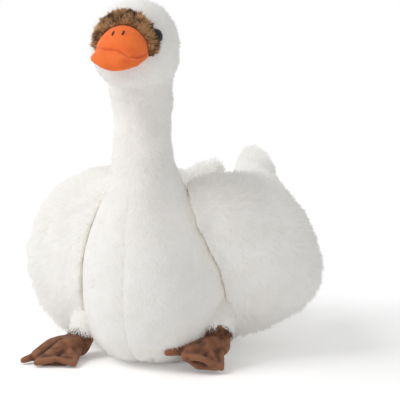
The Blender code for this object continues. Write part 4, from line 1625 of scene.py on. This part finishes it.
@dataclass
class Foot:
    """A stuffed webbed foot with its leg, in brown suede, and the plush hem over it.

    Attributes:
        side: The side that it is on.
        ankle: Middle of the ankle, in millimetres.
        tips: Middles of the three toes' ends, from the swan's right to its left.
        rim: Middle of the front rim between the last two toes.
        thigh: Middle of the leg's upper end.
        hem: Height at which the white plush ends on the leg.
        pads: Rolls of stuffing between the ankle and the rim.
        ankle_radius: Half the ankle's width.
        toe_radius: Half a toe's width at its end.
        web_radius: Half the web's thickness.
        voxel: Width of the foot's facets.
        leg_voxel: Width of the leg's facets.
        pressure: Pressure of the stuffing in the cloth simulation.
        swell: How far that may move the cloth.
        fringe: How the dark pile under the hem is cut.
        plush: How the white pile over the upper leg is cut.
    """

    side: Side
    ankle: tuple[float, float, float]
    tips: tuple[tuple[float, float, float], ...]
    rim: tuple[float, float, float]
    thigh: tuple[float, float, float]
    hem: float
    pads: tuple[Roll, ...] = ()
    ankle_radius: float = 10.0
    toe_radius: float = 2.8
    web_radius: float = 2.2
    voxel: float = 0.0012
    leg_voxel: float = 0.0019
    pressure: float = 12.0
    swell: float = 0.0012
    fringe: Pile = Pile(0.0034, 0.00045, 32, 20, 25, 0.0024, 0.4, 0.45, 0.4, True)
    plush: Pile = Pile(0.0085, 0.00060, 46, 18, 22, 0.0040, 0.4, 0.40, 0.28)

    def rolls(self) -> list[Roll]:
        """The toes, the rim and the web between them."""
        ankle, rim = np.array(self.ankle), np.array(self.rim)
        tips = [np.array(tip) for tip in self.tips]
        made = []
        for tip in tips:
            root = ankle + (tip - ankle) * 0.3
            made.append(Roll(tuple(root), tuple(tip), self.toe_radius * 1.8, self.toe_radius))
        corner = tips[0] + (ankle - tips[0]) * 0.22
        for first, last in ((corner, tips[1]), (tips[1], rim), (rim, tips[2])):
            for share in (0.25, 0.5, 0.75):
                edge = ankle + (first + (last - first) * share - ankle) * 0.94
                made.append(Roll(tuple(ankle), tuple(edge), self.toe_radius * 1.7, self.web_radius))
        made.append(Roll(tuple(tips[1]), tuple(rim), self.toe_radius, self.toe_radius * 0.85))
        made.append(Roll(tuple(rim), tuple(tips[2]), self.toe_radius * 0.85, self.toe_radius))
        return made

    def build(self) -> None:
        """Builds the foot, the leg, the fringe at its top and the hem of plush."""
        material = FOOT_SUEDE.material()
        word = self.side.word
        self.cover(self.joined([*self.rolls(), *self.pads], self.voxel), f"{word}_foot", material)
        radius = self.ankle_radius
        shank = self.joined([Roll(self.ankle, self.thigh, radius, radius * 1.02)], self.leg_voxel)
        self.cover(shank, f"{word}_leg", material)
        ankle, thigh = np.array(self.ankle), np.array(self.thigh)
        share = (self.hem / MM + 2.5 - ankle[2]) / (thigh[2] - ankle[2])
        start = ankle + (thigh - ankle) * share
        upper = self.joined([Roll(tuple(start), self.thigh, radius + 1.2, radius + 1.5)], self.leg_voxel)
        settle(upper.build(f"{word}_thigh_skin", WHITE_PILE.cloth()))
        self.grow(shank, upper)

    def joined(self, rolls: Sequence[Roll], voxel: float) -> Surface:
        """Rolls sewn into one stuffed form, with facets of some width."""
        parts, offset = [], 0
        for roll in rolls:
            part = roll.surface()
            parts.append(Surface(part.points, part.faces + offset))
            offset += len(part.points)
        whole = Surface(np.concatenate([p.points for p in parts]), np.concatenate([p.faces for p in parts]))
        return whole.remeshed(voxel, 4).stuffed(self.pressure, 14, self.swell)

    @staticmethod
    def cover(surface: Surface, node: str, material: bpy.types.Material) -> None:
        """Wrinkles a piece a little and puts it in place of its node."""
        wrinkles = Grain.smooth(surface.points, 0.0065, 81) * 0.00035
        wrinkles = wrinkles + Grain.smooth(surface.points, 0.0028, 82) * 0.00012
        surface = surface.moved(surface.normals() * wrinkles[:, None])
        surface.points[:, 2] = np.maximum(surface.points[:, 2], 0.0001)
        # The field fold paints shade in the folds and a highlight on the ridges.
        folds = surface.relaxed(np.clip(surface.hollows(4) / 0.00016, -1, 1), 1) * 0.9
        obj = surface.build(f"{node}_cover", material, {"fold": folds})
        settle(obj, [node])

    def grow(self, shank: Surface, upper: Surface) -> None:
        """Dark fringe on the shank under the plush's hem, and white pile on the upper leg."""
        node = f"{self.side.word}_leg"
        brown = Skin(shank, np.ones(len(shank.points)), 0.0)
        white = Skin(upper, np.ones(len(upper.points)), 0.0)

        def above(places: Array) -> Array:
            """Where the white plush covers the leg."""
            return ease(places[:, 2], self.hem - 0.001, self.hem + 0.003)

        def edge(places: Array) -> Array:
            """The strip under the hem."""
            under = 1 - ease(places[:, 2], self.hem + 0.001, self.hem + 0.004)
            return ease(places[:, 2], self.hem - 0.008, self.hem - 0.002) * under

        near = neighbours(("body", f"{self.side.word}_wing"))
        fringe = self.fringe.grow(f"{node}_fringe", brown, 1800, self.comb, FRINGE_PILE.pile(), edge, (), 90)
        settle(fringe)
        hem = self.plush.grow(f"{node}_hem", white, 5200, self.comb, WHITE_PILE.pile(), above, near, 92)
        settle(hem)

    @staticmethod
    def comb(places: Array, normals: Array) -> Array:
        """Down the leg."""
        return np.array([0.0, 0.0, -1.0]) + 0.5 * Grain.vector(places, 0.005, 91)


RIGHT_FOOT = Foot(
    Side.RIGHT,
    (-59.0, -46.0, 10.8),
    ((-88.5, -86.0, 3.1), (-74.0, -91.0, 3.6), (-45.5, -82.0, 3.2)),
    (-58.5, -86.0, 6.6),
    (-50.0, -31.0, 42.0),
    0.0215,
    (
        Roll((-59.0, -46.0, 10.8), (-72.0, -66.0, 10.2), 10.0, 8.2),
        Roll((-72.0, -66.0, 10.2), (-79.0, -79.0, 6.8), 8.2, 5.4),
        Roll((-59.0, -46.0, 10.8), (-60.0, -66.0, 10.0), 10.0, 8.0),
        Roll((-60.0, -66.0, 10.0), (-67.0, -81.0, 7.0), 8.0, 4.8),
        Roll((-60.0, -66.0, 9.5), (-52.0, -75.0, 5.4), 7.0, 4.2),
        Roll((-71.0, -84.0, 3.0), (-54.0, -79.0, 3.0), 2.9, 2.9),
    ),
)
LEFT_FOOT = Foot(
    Side.LEFT,
    (58.0, -38.0, 18.5),
    ((28.6, -71.0, 15.9), (42.4, -70.0, 15.2), (68.9, -58.0, 5.0)),
    (56.2, -68.0, 13.3),
    (50.0, -21.0, 43.0),
    0.0300,
    (
        Roll((58.0, -38.0, 18.5), (53.5, -54.0, 15.8), 10.5, 7.4),
        Roll((53.5, -54.0, 15.8), (44.5, -65.0, 16.0), 7.2, 4.2),
        Roll((53.5, -54.0, 15.8), (62.0, -59.0, 9.5), 7.2, 4.2),
        Roll((58.0, -38.0, 18.5), (47.0, -49.0, 16.6), 10.0, 7.5),
        Roll((47.0, -49.0, 16.6), (41.5, -62.0, 16.4), 7.5, 4.6),
        Roll((53.5, -54.0, 12.0), (52.5, -61.0, 8.0), 6.0, 4.0),
        Roll((42.6, -68.5, 12.6), (50.6, -62.0, 5.8), 2.8, 3.0),
        Roll((50.6, -62.0, 5.8), (66.0, -60.0, 5.4), 3.0, 3.0),
    ),
    ankle_radius=10.6,
)


@dataclass
class PhotoCamera:
    """The camera at the photograph's angle.

    Attributes:
        azimuth: Degrees round the swan, from its front towards its left.
        elevation: Degrees above the floor.
        distance: Metres to the origin's plane.
        lens: Focal length for a 36 mm sensor.
        across: Where the origin lies across the view, in metres.
        up: Where the origin lies up the view.
    """

    azimuth: float = 22.0
    elevation: float = 8.0
    distance: float = 1.400
    lens: float = 154.5
    across: float = -0.0256
    up: float = -0.1231

    def build(self) -> None:
        """Makes the camera and gives it to the scene."""
        turn, rise = math.radians(self.azimuth), math.radians(self.elevation)
        ahead = Vector((-math.sin(turn) * math.cos(rise), math.cos(turn) * math.cos(rise), -math.sin(rise)))
        right = Vector((math.cos(turn), math.sin(turn), 0.0))
        above = right.cross(ahead)
        data = bpy.data.cameras.new("photo_camera")
        data.sensor_width = 36.0
        data.lens = self.lens
        data.clip_start, data.clip_end = 0.05, 30.0
        camera = bpy.data.objects.new("photo_camera", data)
        camera.location = -(right * self.across + above * self.up + ahead * self.distance)
        camera.rotation_mode = "QUATERNION"
        camera.rotation_quaternion = Matrix((right, above, -ahead)).transposed().to_quaternion()
        bpy.context.scene.collection.objects.link(camera)
        bpy.context.scene.camera = camera


@dataclass
class Studio:
    """White floor, soft lamps and a pale surround.

    Attributes:
        ambient: Strength of the even light from all round.
        key_power: Watts of the large soft lamp at the viewer's left.
        fill_power: Watts of the soft lamp at the viewer's right.
        floor_glow: Light that only the camera sees on the floor near the swan, so that it stays white.
        far_glow: The same far away, where the lamps don't reach.
        near_reach: Where the near floor ends, in metres.
        far_reach: Where the far floor starts.
        floor_colour: The floor's own colour.
    """

    ambient: float = 0.56
    key_power: float = 20.3
    fill_power: float = 0.5
    floor_glow: float = 0.19
    far_glow: float = 0.48
    near_reach: float = 0.26
    far_reach: float = 0.70
    floor_colour: Colour = (0.97, 0.97, 0.97)

    def build(self) -> None:
        """Makes the floor, the lamps and the world."""
        bpy.context.scene.view_settings.view_transform = "Standard"
        self.floor()
        self.lamp("key_lamp", (-1.05, -0.95, 1.70), 1.0, self.key_power)
        self.lamp("fill_lamp", (1.5, -0.7, 0.7), 1.2, self.fill_power)
        self.surround()

    def floor(self) -> None:
        """A wide white floor."""
        size = 6.0
        points = np.array([(-size, -size, 0), (size, -size, 0), (size, size, 0), (-size, size, 0)])
        shader = Shader("studio_floor")
        seen = self.seen(shader)
        reach = shader.node("ShaderNodeVectorMath", {"operation": "LENGTH"}, {0: shader.place()}, "Value")
        near = (self.floor_glow / self.far_glow,) * 3
        pale = shader.ramp(reach, [(self.near_reach, near), (self.far_reach, (1.0,) * 3)])
        glow = shader.blend((0.0,) * 3, pale, seen)
        material = shader.dress(
            Base_Color=self.floor_colour, Roughness=0.9, Emission_Color=glow, Emission_Strength=self.far_glow
        )
        Surface(points, np.array([(0, 1, 2), (0, 2, 3)])).build("studio_floor", material)

    @staticmethod
    def seen(shader: Shader) -> Signal:
        """1 for rays from the camera, and for those by way of a mirror or glass."""
        rays = ("Camera", "Glossy", "Transmission")
        signals = [shader.node("ShaderNodeLightPath", {}, {}, f"Is {ray} Ray") for ray in rays]
        return signals[0].maximum(signals[1]).maximum(signals[2])

    @staticmethod
    def lamp(name: str, place: Sequence[float], size: float, power: float) -> None:
        """A square soft lamp that faces the swan."""
        data = bpy.data.lights.new(name, "AREA")
        data.shape = "SQUARE"
        data.size = size
        data.energy = power
        lamp = bpy.data.objects.new(name, data)
        lamp.location = place
        aim = Vector((0.0, 0.0, 0.12)) - Vector(place)
        lamp.rotation_mode = "QUATERNION"
        lamp.rotation_quaternion = aim.to_track_quat("-Z", "Y")
        bpy.context.scene.collection.objects.link(lamp)

    def surround(self) -> None:
        """Even light, with a white background for the camera."""
        world = bpy.data.worlds.new("studio_surround")
        bpy.context.scene.world = world
        world.use_nodes = True
        tree = world.node_tree
        tree.nodes.clear()
        path = tree.nodes.new("ShaderNodeLightPath")
        lit, seen = tree.nodes.new("ShaderNodeBackground"), tree.nodes.new("ShaderNodeBackground")
        lit.inputs["Strength"].default_value = self.ambient
        lit.inputs["Color"].default_value = (1.0, 1.0, 1.0, 1.0)
        seen.inputs["Color"].default_value = (1.0, 1.0, 1.0, 1.0)
        seen.inputs["Strength"].default_value = 1.0
        chosen = path.outputs["Is Camera Ray"]
        for ray in ("Is Glossy Ray", "Is Transmission Ray"):
            larger = tree.nodes.new("ShaderNodeMath")
            larger.operation = "MAXIMUM"
            tree.links.new(chosen, larger.inputs[0])
            tree.links.new(path.outputs[ray], larger.inputs[1])
            chosen = larger.outputs[0]
        mix = tree.nodes.new("ShaderNodeMixShader")
        output = tree.nodes.new("ShaderNodeOutputWorld")
        tree.links.new(chosen, mix.inputs[0])
        tree.links.new(lit.outputs[0], mix.inputs[1])
        tree.links.new(seen.outputs[0], mix.inputs[2])
        tree.links.new(mix.outputs[0], output.inputs["Surface"])


LEFT_WING_DENTS = (
    Dent((0.088, 0.055, 0.136), 0.034, (-0.0054, -0.0022, -0.0048)),
    Dent((0.066, 0.104, 0.136), 0.034, (-0.0072, -0.0028, -0.0056)),
    Dent((0.090, 0.040, 0.026), 0.028, (-0.0010, 0.0, 0.0050)),
    Dent((0.062, -0.008, 0.030), 0.022, (-0.0030, -0.0050, -0.0050)),
)
RIGHT_WING_DENTS = (
    Dent((-0.084, 0.0, 0.146), 0.024, (0.0020, 0.0, -0.0036)),
    Dent((-0.034, 0.126, 0.148), 0.034, (0.0, 0.0, -0.0105)),
    Dent((-0.085, -0.018, 0.022), 0.026, (-0.0010, -0.0010, -0.0050)),
)


def main() -> None:
    """Builds the studio and then the swan, piece by piece."""
    logging.basicConfig(level=logging.INFO, format="%(name)s: %(message)s", stream=sys.stdout)
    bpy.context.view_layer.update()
    PhotoCamera().build()
    Studio().build()
    eyes = (Eye(Side.LEFT, sink=0.0022), Eye(Side.RIGHT, sink=0.0024))
    for eye in eyes:
        eye.build()
    Torso(eyes).build()
    Wing(Side.LEFT, 50000, LEFT_WING_DENTS).build()
    Wing(Side.RIGHT, 45000, RIGHT_WING_DENTS).build()
    Tail().build()
    FaceMask().build()
    Bill().build()
    for foot in (RIGHT_FOOT, LEFT_FOOT):
        foot.build()


if __name__ == "__main__":
    main()
